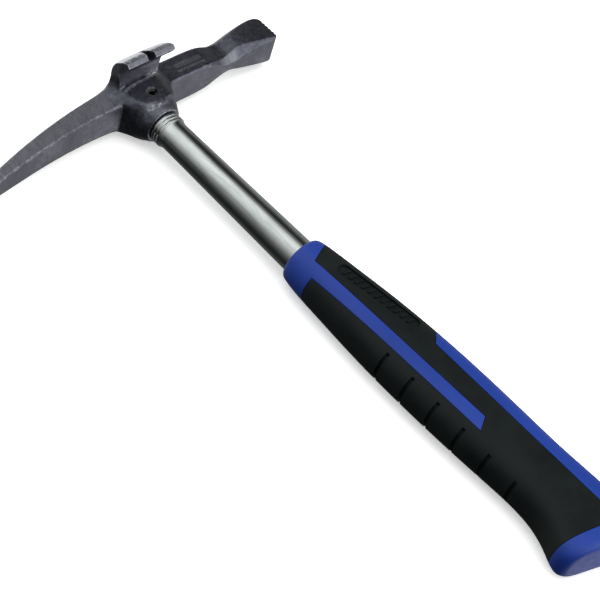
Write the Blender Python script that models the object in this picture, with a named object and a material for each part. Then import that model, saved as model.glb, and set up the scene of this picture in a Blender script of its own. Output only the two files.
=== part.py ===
"""Roofing hammer lying on its lower cheek.

A forged head carries a square serrated face, a pick and a side claw. It sits on a tubular steel
shaft, held by a spring pin, and the shaft ends in a moulded two-colour grip.

Axes of the design: +X towards the striking face, +Y up the shaft towards the head, and +Z out of
the upper cheek, the one with the claw. The shaft's axis is the line x = z = 0, and y = 0 is just
below the collar of the shaft. Every object is then moved by PLACE, which sets the underside
on z = 0 and centres the hammer.
"""

import math

import bmesh
import bpy
from mathutils import Matrix
from mathutils import Vector

MM = 0.001
GAP = 0.3 * MM

# Overall
FACE_X = 96.0 * MM
PICK_TIP_X = -118.3 * MM
HEAD_TOP_Y = 38.5 * MM
BUTT_Y = -323.1 * MM
CHEEK_Z = 14.0 * MM
PLACE = Vector((-(FACE_X + PICK_TIP_X) / 2, -(HEAD_TOP_Y + BUTT_Y) / 2, CHEEK_Z))

# Poll: a square bar, a scooped waist and the flared striking block
POLL_LOW_Y = 20.9 * MM
POLL_HIGH_Y = 36.7 * MM
POLL_HALF_Z = 9.9 * MM
WAIST_LOW_Y = 20.8 * MM
WAIST_HIGH_Y = 37.2 * MM
WAIST_HALF_Z = 6.1 * MM
BLOCK_HALF_Z = 9.6 * MM
FACE_LOW_Y = 18.6 * MM
FACE_HIGH_Y = 38.7 * MM
LAND_HIGH_Y = 34.8 * MM
TOOTH_COUNT = 6
TOOTH_PITCH = 2.6 * MM
TOOTH_HEIGHT = 0.7 * MM
TOOTH_LAND = 0.9 * MM

# Pick
PICK_ROOT_X = -21.0 * MM
PICK_CAGE_X = -119.0 * MM
PICK_ROOT_Y = 28.1 * MM
PICK_DROP = 16.2 * MM
PICK_DROP_POWER = 1.75
PICK_ROOT_THICK = 13.4 * MM
PICK_TAPER_THICK = 8.4 * MM
PICK_ROOT_HALF_Z = 9.3 * MM
PICK_TAPER_HALF_Z = 3.4 * MM
PICK_STATIONS = 7

# Hub around the eye: angle round the shaft, lower end of the cheeks, upper cheek and lower cheek
HUB_STATIONS = (
    (150, 13.4, 14.3, 10.0),
    (120, 12.2, 14.5, 13.4),
    (90, 11.8, 14.5, 14.6),
    (60, 11.8, 14.5, 13.6),
    (30, 12.8, 12.9, 11.0),
)
HUB_RING_R = 14.4 * MM
HUB_RING_Y = 9.8 * MM
HUB_TOP_CHAMFER = 2.2 * MM
LEDGE_Y = 27.2 * MM
LEDGE_TILT = 0.1
SKIRT_END_Y = 4.8 * MM
SKIRT_END_R = 12.2 * MM
EYE_END_Y = 33.0 * MM

BAR_CREASE = 0.75
HUB_CREASE = 0.35
RIDGE_CREASE = 0.6
CLAW_CREASE = 0.7

# Claw on the upper cheek: slanted sections from root to edge, each the underside's z and y, the
# outer side's z and y, and half the width, in millimetres
CLAW_COLUMNS = (-1.0, -0.8, -0.5, 0.0, 0.5, 1.0)
CLAW_ARCH = (
    (13.7, 28.6, 16.0, 37.5, 13.0),
    (18.2, 29.3, 20.0, 37.2, 13.9),
    (22.2, 29.7, 24.6, 36.2, 14.7),
    (25.2, 29.1, 28.4, 34.5, 15.3),
)
CLAW_PRONG = (
    (28.4, 26.6, 32.1, 31.5, 15.7),
    (31.2, 23.8, 34.8, 27.9, 15.9),
    (34.0, 22.4, 36.2, 24.6, 15.9),
)
NOTCH_HALVES = (1.0, 1.8, 2.5)
CLAW_END_DROOP = 0.4 * MM

# Shaft
TUBE_NECK_R = 8.5 * MM
TUBE_GRIP_R = 9.8 * MM
TUBE_TAPER_END_Y = -100.0 * MM
TUBE_EYE_R = 8.3 * MM
TUBE_TOP_Y = 32.4 * MM
TUBE_END_Y = -298.0 * MM
TUBE_WALL = 1.6 * MM
COLLAR_R = 9.6 * MM
COLLAR_LOW_Y = -1.6 * MM
COLLAR_RINGS = 3

# Pin, dowel, plug and magnet
PIN_Y = 17.8 * MM
PIN_R = 2.5 * MM
PIN_WALL = 0.8 * MM
PIN_RECESS = 0.7 * MM
PIN_SLOT = 0.9 * MM
DOWEL_LOW_Y = -24.0 * MM
PLUG_LENGTH = 22.0 * MM
PLUG_FLANGE = 3.0 * MM
GROOVE_R = 2.4 * MM
GROOVE_LENGTH = 15.0 * MM
MAGNET_R = 3.0 * MM
MAGNET_HEIGHT = 4.0 * MM

# Grip: ring heights with the reach of each side from the shaft's axis (finger side, palm side)
GRIP_FRONT_Y = -102.6 * MM
GRIP_FORM = (
    (-102.6, 11.6, 11.9, 11.7),
    (-104.0, 12.9, 13.3, 13.0),
    (-108.5, 13.9, 14.4, 13.5),
    (-118.0, 15.0, 15.7, 13.8),
    (-131.0, 15.5, 17.2, 14.0),
    (-150.0, 16.7, 19.8, 14.0),
    (-170.0, 17.8, 22.0, 14.0),
    (-190.0, 18.1, 23.5, 14.0),
    (-210.0, 17.8, 24.2, 14.0),
    (-230.0, 17.0, 24.3, 14.0),
    (-248.0, 15.9, 24.1, 14.0),
    (-262.0, 14.9, 24.0, 14.0),
    (-272.0, 14.6, 24.2, 14.0),
    (-281.0, 15.0, 24.5, 14.0),
    (-289.0, 16.4, 24.9, 14.0),
    (-295.5, 18.3, 25.3, 14.0),
    (-301.0, 20.6, 25.6, 14.0),
    (-306.0, 22.9, 25.8, 14.0),
    (-310.0, 24.0, 25.6, 14.0),
)
BUTT_SLANT = 0.28
BUTT_SLANT_START_Y = -262.0 * MM
BUTT_DOME = 6.0 * MM
GRIP_POINTS = 36
PANEL_DEPTH = 2.2 * MM

# Panels of the overmould, seen on a cheek
PANEL_FRONT_Y = -112.5 * MM
PANEL_FRONT_SLOPE = 0.4
FINGER_FRONT_Y = -120.0 * MM
PANEL_END_Y = -305.0 * MM
CHEEK_STRIPE_TIP_Y = -234.5 * MM
PALM_STRIPE_START_Y = -186.5 * MM
PALM_STRIPE_X = 10.2 * MM
SLOT_COUNT = 6
SLOT_FIRST_Y = -176.4 * MM
SLOT_PITCH = 17.4 * MM
SLOT_WIDTH = 1.6 * MM
SLOT_DEPTH = 1.0 * MM
SLOT_REACH_X = -12.6 * MM

ROUND = 40


# ---------------------------------------------------------------- small tools

def clear_scene():
    for item in list(bpy.data.objects):
        bpy.data.objects.remove(item, do_unlink=True)


def finish_material(name, colour, roughness, metallic):
    material = bpy.data.materials.new(name)
    material.use_nodes = True
    shader = material.node_tree.nodes["Principled BSDF"]
    shader.inputs["Base Color"].default_value = (*colour, 1.0)
    shader.inputs["Roughness"].default_value = roughness
    shader.inputs["Metallic"].default_value = metallic
    return material


def forged_steel():
    return finish_material("forged_steel", (0.085, 0.085, 0.10), 0.45, 0.6)


def chromed_steel():
    return finish_material("chromed_steel", (0.75, 0.77, 0.76), 0.16, 1.0)


def spring_steel():
    return finish_material("spring_steel", (0.42, 0.42, 0.41), 0.35, 1.0)


def beech():
    return finish_material("beech", (0.60, 0.42, 0.25), 0.65, 0.0)


def plug_plastic():
    return finish_material("plug_plastic", (0.05, 0.05, 0.05), 0.55, 0.0)


def magnet_nickel():
    return finish_material("magnet_nickel", (0.60, 0.58, 0.54), 0.3, 1.0)


def blue_plastic():
    return finish_material("blue_plastic", (0.02, 0.06, 0.42), 0.4, 0.0)


def black_rubber():
    return finish_material("black_rubber", (0.02, 0.022, 0.022), 0.7, 0.0)


def make_object(name, bm, material=None):
    """A named object holding the mesh, its faces outward, moved to the hammer's resting place."""
    bmesh.ops.recalc_face_normals(bm, faces=bm.faces)
    mesh = bpy.data.meshes.new(name)
    bm.to_mesh(mesh)
    bm.free()
    item = bpy.data.objects.new(name, mesh)
    item.location = PLACE
    bpy.context.scene.collection.objects.link(item)
    if material:
        mesh.materials.append(material)
    return item


def smooth_round(item, angle=35.0):
    item.data.shade_smooth()
    item.data.set_sharp_from_angle(angle=math.radians(angle))


def make_guide(name, bm):
    """A shape that only cuts or limits others."""
    guide = make_object(name, bm)
    guide.hide_render = True
    guide.display_type = 'WIRE'
    return guide


def add_boolean(item, guide):
    cut = item.modifiers.new(guide.name, 'BOOLEAN')
    cut.operation = 'DIFFERENCE'
    cut.solver = 'EXACT'
    cut.object = guide


def loft(bm, rings, capped=True):
    """Skin rings of corner points into quads and close both ends."""
    rows = [[bm.verts.new(point) for point in ring] for ring in rings]
    count = len(rows[0])
    for near, far in zip(rows, rows[1:]):
        for i in range(count):
            j = (i + 1) % count
            bm.faces.new((near[i], near[j], far[j], far[i]))
    if capped:
        bm.faces.new(rows[0][::-1])
        bm.faces.new(rows[-1])
    return rows


def turned(profile, segments=ROUND):
    """Solid turned about the shaft's axis from (radius, y) points, closed where radius is 0."""
    bm = bmesh.new()
    points = [bm.verts.new((radius, y, 0.0)) for radius, y in profile]
    edges = [bm.edges.new(pair) for pair in zip(points, points[1:])]
    if profile[0][0] > 0.0:
        edges.append(bm.edges.new((points[-1], points[0])))
    bmesh.ops.spin(bm, geom=points + edges, cent=(0, 0, 0), axis=(0, 1, 0), dvec=(0, 0, 0),
                   angle=2 * math.pi, steps=segments, use_merge=True, use_duplicate=False)
    bmesh.ops.remove_doubles(bm, verts=bm.verts, dist=1e-6)
    return bm


def prism(outline, low, high):
    """Straight prism from a closed outline of (x, y) pairs, between low and high on z."""
    bm = bmesh.new()
    loft(bm, [[(x, y, level) for x, y in outline] for level in (low, high)])
    return bm


def merge_into(bm, other):
    """Add the shape in other to bm."""
    spare = bpy.data.meshes.new("spare")
    other.to_mesh(spare)
    other.free()
    bm.from_mesh(spare)
    bpy.data.meshes.remove(spare)


def rod_along_z(radius, y, low, high, segments=24):
    bm = bmesh.new()
    angles = [2 * math.pi * i / segments for i in range(segments)]
    ring = [(radius * math.cos(angle), y + radius * math.sin(angle)) for angle in angles]
    loft(bm, [[(x, v, z) for x, v in ring] for z in (low, high)])
    return bm


# ---------------------------------------------------------------- head

def bar_section(x, low, high, half, chamfer, ledge=None):
    """Twelve points of the bar's section at x: chamfered corners, a centre line and a ledge row."""
    if ledge is None:
        ledge = low + 0.45 * (high - low)
    side = ((low, half - chamfer), (low + chamfer, half), (ledge, half),
            (high - chamfer, half), (high, half - chamfer))
    upper = [Vector((x, y, z)) for y, z in side]
    lower = [Vector((x, y, -z)) for y, z in reversed(side)]
    return [Vector((x, low, 0))] + upper + [Vector((x, high, 0))] + lower


def pick_section(t):
    """Section of the pick, from its root at t = 0 to its point at t = 1."""
    x = PICK_ROOT_X + (PICK_CAGE_X - PICK_ROOT_X) * t
    middle = PICK_ROOT_Y - PICK_DROP * t ** PICK_DROP_POWER
    thick = PICK_ROOT_THICK - PICK_TAPER_THICK * t - 1.9 * MM * t ** 12
    half = PICK_ROOT_HALF_Z - PICK_TAPER_HALF_Z * t - 2.6 * MM * t ** 8
    return bar_section(x, middle - thick / 2, middle + thick / 2, half, 0.6 * MM)


def hub_section(degrees, pad_low, upper, lower):
    """Section of the hub at an angle round the shaft: its lower corners lie on the skirt's ring, its
    cheeks start at pad_low and stand at upper and lower."""
    angle = math.radians(degrees)
    x = HUB_RING_R * math.cos(angle)
    ring_z = HUB_RING_R * math.sin(angle)
    ledge = LEDGE_Y + LEDGE_TILT * x
    section = bar_section(x, HUB_RING_Y, HEAD_TOP_Y, upper, HUB_TOP_CHAMFER, ledge)
    section[1].z = ring_z
    section[11].z = -ring_z
    section[2].y = section[10].y = pad_low
    for index in (7, 8, 9, 10):
        section[index].z += upper - lower
    return section


def waist_section(x):
    return bar_section(x, WAIST_LOW_Y, WAIST_HIGH_Y, WAIST_HALF_Z, 2.6 * MM)


def head_sections():
    """Sections from the pick's point to the striking face, and the first hub section's place."""
    pick = [pick_section(1.0 - i / (PICK_STATIONS - 1)) for i in range(PICK_STATIONS)]
    left = [bar_section(-16.8 * MM, 20.4 * MM, 36.6 * MM, 10.6 * MM, 1.6 * MM, LEDGE_Y)]
    hub = [hub_section(row[0], *(value * MM for value in row[1:])) for row in HUB_STATIONS]
    for section, sign in ((hub[0], -1), (hub[-1], 1)):
        section[0].x = sign * HUB_RING_R
    poll = [
        bar_section(16.0 * MM, 20.8 * MM, 37.0 * MM, 10.3 * MM, 1.4 * MM, LEDGE_Y),
        bar_section(21.0 * MM, POLL_LOW_Y, POLL_HIGH_Y, POLL_HALF_Z, 1.0 * MM),
        bar_section(44.5 * MM, POLL_LOW_Y, POLL_HIGH_Y, POLL_HALF_Z, 1.0 * MM),
        bar_section(51.0 * MM, 21.1 * MM, 36.9 * MM, 8.4 * MM, 1.6 * MM),
        waist_section(57.0 * MM),
        waist_section(63.5 * MM),
        bar_section(70.0 * MM, 20.2 * MM, 37.2 * MM, BLOCK_HALF_Z - 0.3 * MM, 2.8 * MM),
        bar_section(79.0 * MM, 19.9 * MM, 37.5 * MM, BLOCK_HALF_Z, 0.9 * MM),
        bar_section(FACE_X - 3.4 * MM, FACE_LOW_Y, FACE_HIGH_Y, BLOCK_HALF_Z, 0.7 * MM),
        bar_section(FACE_X - 0.6 * MM, FACE_LOW_Y + 0.8 * MM, LAND_HIGH_Y + 1.2 * MM, BLOCK_HALF_Z,
                    0.9 * MM),
        bar_section(FACE_X, FACE_LOW_Y + 1.4 * MM, LAND_HIGH_Y, BLOCK_HALF_Z - 0.3 * MM, 0.7 * MM),
    ]
    return pick + left + hub + poll, len(pick) + len(left)


def crease(bm, edges, amount):
    layer = bm.edges.layers.float['crease_edge']
    for edge in edges:
        edge[layer] = amount


def row_edges(rows, index):
    """Lengthwise edges that join the points of one index from section to section."""
    return [edge for near, far in zip(rows, rows[1:])
            for edge in near[index].link_edges if edge.other_vert(near[index]) is far[index]]


def extrude_faces(bm, faces):
    """Extrude a patch and return its new faces and points."""
    new = bmesh.ops.extrude_face_region(bm, geom=faces)['geom']
    bmesh.ops.delete(bm, geom=faces, context='FACES')
    return ([f for f in new if isinstance(f, bmesh.types.BMFace)],
            [v for v in new if isinstance(v, bmesh.types.BMVert)])


def draw_skirt(bm, faces):
    """Draw the underside of the hub down into the round skirt that the shaft enters."""
    rings = ((8.2 * MM, 13.2 * MM), (6.2 * MM, SKIRT_END_R), (SKIRT_END_Y, 11.2 * MM),
             (SKIRT_END_Y, 9.8 * MM))
    radius = HUB_RING_R
    for y, next_radius in rings:
        faces, points = extrude_faces(bm, faces)
        bmesh.ops.scale(bm, vec=(next_radius / radius, 1.0, next_radius / radius), verts=points)
        for point in points:
            point.co.y = y
        radius = next_radius


def draw_claw(bm, faces):
    """Draw the claw out of the upper cheek: a shallow scoop behind the ridge, an arch, then two prongs."""
    for station in CLAW_ARCH:
        faces, points = extrude_faces(bm, faces)
        set_claw_station(bm, points, station, CLAW_COLUMNS, 0.0)
    halves = {side: [f for f in faces if side * f.calc_center_median().x > 0] for side in (-1, 1)}
    for side, prong in halves.items():
        columns = [c for c in CLAW_COLUMNS if side * c >= 0.0]
        for station, gap in zip(CLAW_PRONG, NOTCH_HALVES):
            prong, points = extrude_faces(bm, prong)
            set_claw_station(bm, points, station, columns, side * gap * MM)
        rim = {e for f in prong for e in f.edges if len(set(e.link_faces) & set(prong)) == 1}
        crease(bm, rim, CLAW_CREASE)


def set_claw_station(bm, points, station, columns, gap):
    """Place the points of one slanted claw section in its columns; gap opens the notch."""
    low_z, low_y, high_z, high_y, half = (value * MM for value in station)
    ordered = sorted(points, key=lambda v: v.co.x)
    for index, column in enumerate(columns):
        pair = sorted(ordered[2 * index:2 * index + 2], key=lambda v: v.co.y)
        for point, y, z in zip(pair, (low_y, high_y), (low_z, high_z)):
            point.co = (gap + column * (half - abs(gap)), y, z)
        end = abs(column) == 1.0
        if end:
            pair[1].co.y -= CLAW_END_DROOP
            pair[1].co.z -= CLAW_END_DROOP
        if end or column == 0.0 and gap:
            lengthwise = [e for v in pair for e in v.link_edges if e.other_vert(v) not in points]
            crease(bm, lengthwise, CLAW_CREASE)


def head_cage():
    """The forging's control cage: one bar from point to face, with skirt and claw drawn from it."""
    bm = bmesh.new()
    bm.edges.layers.float.new('crease_edge')
    sections, hub_start = head_sections()
    rows = loft(bm, sections)
    hub_rows = rows[hub_start:hub_start + 5]
    for index in (1, 2, 4, 5, 7, 8, 10, 11):
        crease(bm, row_edges(rows[:hub_start], index), BAR_CREASE)
        crease(bm, row_edges(rows[hub_start + 5:], index), BAR_CREASE)
        crease(bm, row_edges(hub_rows, index), HUB_CREASE)
    bottom = faces_between(hub_rows, (11, 0)) + faces_between(hub_rows, (0, 1))
    cheek = faces_between(rows[hub_start - 1:hub_start + 5], (3, 4))
    crease(bm, row_edges(hub_rows, 3), RIDGE_CREASE)
    corner = rows[hub_start - 1]
    crease(bm, [e for e in bm.edges if all(v in (corner[11], corner[0], corner[1], corner[2], corner[10])
                                           for v in e.verts)], RIDGE_CREASE)
    end_edges = [e for e in bm.edges if all(v in rows[-1] for v in e.verts)]
    crease(bm, end_edges, 1.0)
    draw_skirt(bm, bottom)
    draw_claw(bm, cheek)
    return bm


def faces_between(rows, pair):
    """Faces of one lengthwise strip, between two neighbouring point indices."""
    found = []
    for near, far in zip(rows, rows[1:]):
        corner = {near[pair[0]], near[pair[1]], far[pair[0]], far[pair[1]]}
        found += [f for f in near[pair[0]].link_faces if set(f.verts) == corner]
    return found


def face_grooves():
    """V grooves milled across the striking face, square to the shaft."""
    half = 0.5 * (TOOTH_PITCH - TOOTH_LAND)
    centre = 0.5 * (FACE_LOW_Y + LAND_HIGH_Y)
    bm = bmesh.new()
    for index in range(TOOTH_COUNT - 1):
        middle = centre + (index + 1 - TOOTH_COUNT / 2) * TOOTH_PITCH
        outline = [(FACE_X - TOOTH_HEIGHT, middle), (FACE_X + TOOTH_HEIGHT, middle + 2 * half),
                   (FACE_X + TOOTH_HEIGHT, middle - 2 * half)]
        merge_into(bm, prism(outline, -15 * MM, 15 * MM))
    return bm


def nail_groove():
    """Half-round groove along the top of the striking block and the magnet's pocket behind it."""
    bm = rod_along_z(GROOVE_R, 0.0, 0.0, GROOVE_LENGTH + 4 * MM, 20)
    bmesh.ops.rotate(bm, cent=(0, 0, 0), matrix=Matrix.Rotation(math.radians(90), 3, 'Y'), verts=bm.verts)
    bmesh.ops.translate(bm, vec=(FACE_X - GROOVE_LENGTH, FACE_HIGH_Y + 0.9 * MM, 0), verts=bm.verts)
    return bm


def magnet_centre():
    return Vector((FACE_X - GROOVE_LENGTH + 3.5 * MM, FACE_HIGH_Y - 1.9 * MM, 0))


def magnet_pocket():
    top = 8.0 * MM
    bm = turned([(0, -MAGNET_HEIGHT - GAP), (MAGNET_R + GAP, -MAGNET_HEIGHT - GAP),
                 (MAGNET_R + GAP, top), (0, top)], 24)
    bmesh.ops.translate(bm, vec=magnet_centre(), verts=bm.verts)
    return bm


def cheek_grinder():
    """Slab that grinds the lower cheek to a flat pad."""
    outline = [(-26 * MM, 0), (26 * MM, 0), (26 * MM, 45 * MM), (-26 * MM, 45 * MM)]
    return prism(outline, -CHEEK_Z - 5 * MM, -CHEEK_Z)


def build_head():
    head = make_object("head", head_cage(), forged_steel())
    round_off = head.modifiers.new("forged_rounding", 'SUBSURF')
    round_off.levels = 2
    round_off.render_levels = 2
    thin = head.modifiers.new("flat_areas", 'DECIMATE')
    thin.decimate_type = 'DISSOLVE'
    thin.angle_limit = math.radians(1.5)
    eye = make_guide("guide_eye", turned([(0, 0), (TUBE_EYE_R + GAP, 0), (TUBE_EYE_R + GAP, EYE_END_Y),
                                          (0, EYE_END_Y)]))
    pin_hole = make_guide("guide_pin_hole", rod_along_z(PIN_R + GAP, PIN_Y, -20 * MM, 20 * MM))
    pad = make_guide("guide_pad", cheek_grinder())
    groove = make_guide("guide_groove", nail_groove())
    pocket = make_guide("guide_pocket", magnet_pocket())
    face_rows = make_guide("guide_face_rows", face_grooves())
    for cutter in (pad, eye, pin_hole, groove, pocket, face_rows):
        add_boolean(head, cutter)
    smooth_round(head, 32.0)


def build_magnet():
    bevel = 0.4 * MM
    bm = turned([(0, -MAGNET_HEIGHT), (MAGNET_R, -MAGNET_HEIGHT), (MAGNET_R, -bevel),
                 (MAGNET_R - bevel, 0), (0, 0)], 24)
    bmesh.ops.translate(bm, vec=magnet_centre(), verts=bm.verts)
    smooth_round(make_object("nail_magnet", bm, magnet_nickel()))


# ---------------------------------------------------------------- shaft

def tube_radius(y):
    """Outer radius of the shaft below the collar: it widens down to the grip, then runs straight."""
    t = min(1.0, max(0.0, y / TUBE_TAPER_END_Y))
    return TUBE_NECK_R + (TUBE_GRIP_R - TUBE_NECK_R) * t


def collar_profile():
    """Upset collar under the head: turned rings between shallow grooves, then a step to the tube."""
    top = SKIRT_END_Y - GAP
    pitch = (top - COLLAR_LOW_Y) / COLLAR_RINGS
    points = []
    for ring in range(COLLAR_RINGS):
        start = top - ring * pitch
        points += [(COLLAR_R - 0.35 * MM, start), (COLLAR_R, start - 0.35 * MM),
                   (COLLAR_R, start - pitch + 0.35 * MM), (COLLAR_R - 0.35 * MM, start - pitch)]
    points.append((TUBE_NECK_R + 0.35 * MM, COLLAR_LOW_Y - 1.0 * MM))
    points.append((tube_radius(0), COLLAR_LOW_Y - 2.0 * MM))
    return points


def build_shaft_tube():
    outside = [(TUBE_EYE_R - 0.6 * MM, TUBE_TOP_Y), (TUBE_EYE_R, TUBE_TOP_Y - 0.6 * MM),
               (TUBE_EYE_R, SKIRT_END_Y - GAP)]
    outside += collar_profile()
    outside += [(tube_radius(y * MM), y * MM) for y in (-35, -70, -100)]
    outside += [(TUBE_GRIP_R, TUBE_END_Y)]
    bore = TUBE_EYE_R - TUBE_WALL
    inside = [(TUBE_GRIP_R - TUBE_WALL, TUBE_END_Y), (TUBE_GRIP_R - TUBE_WALL, TUBE_TAPER_END_Y),
              (bore, 0.0), (bore, TUBE_TOP_Y)]
    tube = make_object("shaft_tube", turned(outside + inside), chromed_steel())
    add_boolean(tube, bpy.data.objects["guide_pin_hole"])
    smooth_round(tube)


def build_spring_pin():
    """Slotted spring pin across the eye, just below the surface of both cheeks."""
    end = CHEEK_Z - PIN_RECESS
    start = math.asin(PIN_SLOT / 2 / PIN_R)
    angles = [start + (2 * math.pi - 2 * start) * i / 22 for i in range(23)]
    outer = [(PIN_R * math.cos(a), PIN_Y + PIN_R * math.sin(a)) for a in angles]
    inner_r = PIN_R - PIN_WALL
    inner = [(inner_r * math.cos(a), PIN_Y + inner_r * math.sin(a)) for a in reversed(angles)]
    smooth_round(make_object("spring_pin", prism(outer + inner, -end, end), spring_steel()))


def build_dowel():
    """Wooden dowel that stiffens the tube in the eye and damps it."""
    radius = TUBE_EYE_R - TUBE_WALL - GAP
    top = TUBE_TOP_Y - 0.5 * MM
    bm = turned([(0, DOWEL_LOW_Y), (radius - 1 * MM, DOWEL_LOW_Y), (radius, DOWEL_LOW_Y + 1 * MM),
                 (radius, top), (0, top)], 28)
    dowel = make_object("damping_dowel", bm, beech())
    add_boolean(dowel, bpy.data.objects["guide_pin_hole"])
    smooth_round(dowel)


def build_end_plug():
    """Moulded plug that closes the lower end of the tube inside the grip."""
    radius = TUBE_GRIP_R - TUBE_WALL - GAP
    flange_top = TUBE_END_Y - GAP
    bottom = flange_top - PLUG_FLANGE
    top = TUBE_END_Y + PLUG_LENGTH
    bm = turned([(0, bottom), (TUBE_GRIP_R, bottom), (TUBE_GRIP_R, flange_top), (radius, flange_top),
                 (radius, top - 1.5 * MM), (radius - 1.0 * MM, top), (0, top)], 28)
    smooth_round(make_object("tube_end_plug", bm, plug_plastic()))


# ---------------------------------------------------------------- grip

def grip_size(y):
    """Finger reach, palm reach and half thickness of the grip at height y, eased between stations."""
    heights = [row[0] * MM for row in GRIP_FORM]
    if y >= heights[0]:
        return [value * MM for value in GRIP_FORM[0][1:]]
    if y <= heights[-1]:
        return [value * MM for value in GRIP_FORM[-1][1:]]
    i = next(k for k in range(len(heights) - 1) if heights[k + 1] <= y)
    t = (heights[i] - y) / (heights[i] - heights[i + 1])
    return [(a + (b - a) * t) * MM for a, b in zip(GRIP_FORM[i][1:], GRIP_FORM[i + 1][1:])]


def corner_power(y):
    """Squareness of the section: round at the front, slightly boxy in the swell, boxier at the butt."""
    swell = min(1.0, max(0.0, (GRIP_FRONT_Y - y) / (50 * MM)))
    butt = min(1.0, max(0.0, (BUTT_SLANT_START_Y - y) / (44 * MM)))
    return 2.0 + 0.5 * swell + 0.7 * butt


def butt_slant(y):
    t = min(1.0, max(0.0, (BUTT_SLANT_START_Y - y) / (34 * MM)))
    return BUTT_SLANT * t * t * (3 - 2 * t)


def grip_ring(y, inset, points=GRIP_POINTS):
    """Ring of the grip's outer form at height y, drawn in by inset."""
    finger, palm, half = grip_size(y)
    centre = (palm - finger) / 2
    reach = (palm + finger) / 2 - inset
    half = half - inset
    power = 2.0 / corner_power(y)
    slant = butt_slant(y)
    ring = []
    for i in range(points):
        angle = 2 * math.pi * i / points
        c, s = math.cos(angle), math.sin(angle)
        x = centre + reach * math.copysign(abs(c) ** power, c)
        z = half * math.copysign(abs(s) ** power, s)
        ring.append(Vector((x, y - slant * x, z)))
    return ring


def grip_form(inset):
    """Solid of the grip's outer form, drawn in by inset, with a domed butt."""
    heights = [row[0] * MM for row in GRIP_FORM]
    rings = [grip_ring(y, inset) for y in heights]
    last_y = heights[-1]
    finger, palm = grip_size(last_y)[:2]
    centre = Vector(((palm - finger) / 2, 0, 0))
    base = grip_ring(last_y, inset)
    for step in range(1, 5):
        angle = math.radians(90 * step / 4.6)
        shrink = BUTT_DOME * (1 - math.cos(angle))
        drop = (BUTT_DOME - inset) * math.sin(angle)
        ring = []
        for point in base:
            flat = Vector((point.x - centre.x, 0, point.z))
            moved = point - flat.normalized() * shrink
            ring.append(moved - Vector((0, drop, 0)))
        rings.append(ring)
    bm = bmesh.new()
    loft(bm, rings)
    return bm


def stripe_outline(grow):
    """Cheek stripe in x, y, from in front of the grip down to its slanted tip."""
    tip = CHEEK_STRIPE_TIP_Y
    return [(-12.3 * MM - grow, -98 * MM), (-11.2 * MM - grow, -120 * MM), (-8.4 * MM - grow, tip - grow),
            (-1.6 * MM + grow, tip + 3.8 * MM - grow), (-4.6 * MM + grow, -120 * MM),
            (-5.6 * MM + grow, -98 * MM)]


def palm_outline(grow):
    """Palm stripe in x, y: from its slanted start to past the butt."""
    start = PALM_STRIPE_START_Y
    return [(PALM_STRIPE_X - grow, start + grow), (30 * MM, start + 15 * MM + grow), (30 * MM, -340 * MM),
            (PALM_STRIPE_X - grow, -340 * MM)]


def front_outline(grow):
    """Front collar in x, y: everything ahead of the panels' slanted front edges."""
    return [(-30 * MM, -90 * MM), (-30 * MM, FINGER_FRONT_Y - grow), (-11 * MM, FINGER_FRONT_Y - grow),
            (-5 * MM, PANEL_FRONT_Y - PANEL_FRONT_SLOPE * 5 * MM - grow),
            (30 * MM, PANEL_FRONT_Y + PANEL_FRONT_SLOPE * 30 * MM - grow), (30 * MM, -90 * MM)]


def butt_outline(grow):
    """Butt cap in x, y: everything below the slanted parting line."""
    y = PANEL_END_Y + grow
    return [(-35 * MM, y + BUTT_SLANT * 35 * MM), (35 * MM, y - BUTT_SLANT * 35 * MM), (35 * MM, -345 * MM),
            (-35 * MM, -345 * MM)]


def panel_guides(label, depth, grow):
    """Blocks that stay blue, and the inner form that the panels lie on."""
    inner = make_guide(f"guide_{label}_inner", grip_form(depth))
    blocks = [make_guide(f"guide_{label}_{part}", prism(outline(grow), -30 * MM, 30 * MM))
              for part, outline in (("stripe", stripe_outline), ("palm", palm_outline),
                                    ("front", front_outline), ("butt", butt_outline))]
    return [inner] + blocks


def build_grip_core():
    """Blue core: the whole form less the pockets for the soft panels and the shaft's bore."""
    pocket = make_guide("guide_pockets", grip_form(-1.0 * MM))
    for guide in panel_guides("pocket", PANEL_DEPTH, 0.0):
        add_boolean(pocket, guide)
    bottom = TUBE_END_Y - 2 * GAP - PLUG_FLANGE
    bore = make_guide("guide_bore", turned(
        [(0, bottom), (TUBE_GRIP_R + GAP, bottom), (TUBE_GRIP_R + GAP, TUBE_TAPER_END_Y),
         (TUBE_GRIP_R + GAP, -90 * MM), (0, -90 * MM)]))
    core = make_object("grip_core", grip_form(0.0), blue_plastic())
    add_boolean(core, pocket)
    add_boolean(core, bore)
    smooth_round(core, 40.0)


def finger_slots():
    """Narrow slots across the finger side, cut to an even depth."""
    bm = bmesh.new()
    for index in range(SLOT_COUNT):
        y = SLOT_FIRST_Y - index * SLOT_PITCH
        outline = [(-32 * MM, y - SLOT_WIDTH / 2), (SLOT_REACH_X, y - SLOT_WIDTH / 2),
                   (SLOT_REACH_X, y + SLOT_WIDTH / 2), (-32 * MM, y + SLOT_WIDTH / 2)]
        merge_into(bm, prism(outline, -30 * MM, 30 * MM))
    return bm


def build_grip_overmould():
    """Black soft panels, one shell moulded round the core."""
    shell = make_object("grip_overmould", grip_form(0.0), black_rubber())
    for guide in panel_guides("panel", PANEL_DEPTH - GAP, GAP):
        add_boolean(shell, guide)
    slots = make_guide("guide_slots", finger_slots())
    add_boolean(slots, make_guide("guide_slot_floor", grip_form(SLOT_DEPTH)))
    add_boolean(shell, slots)
    smooth_round(shell, 40.0)


def build_hammer():
    clear_scene()
    build_head()
    build_magnet()
    build_shaft_tube()
    build_spring_pin()
    build_dowel()
    build_end_plug()
    build_grip_core()
    build_grip_overmould()


build_hammer()
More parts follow.
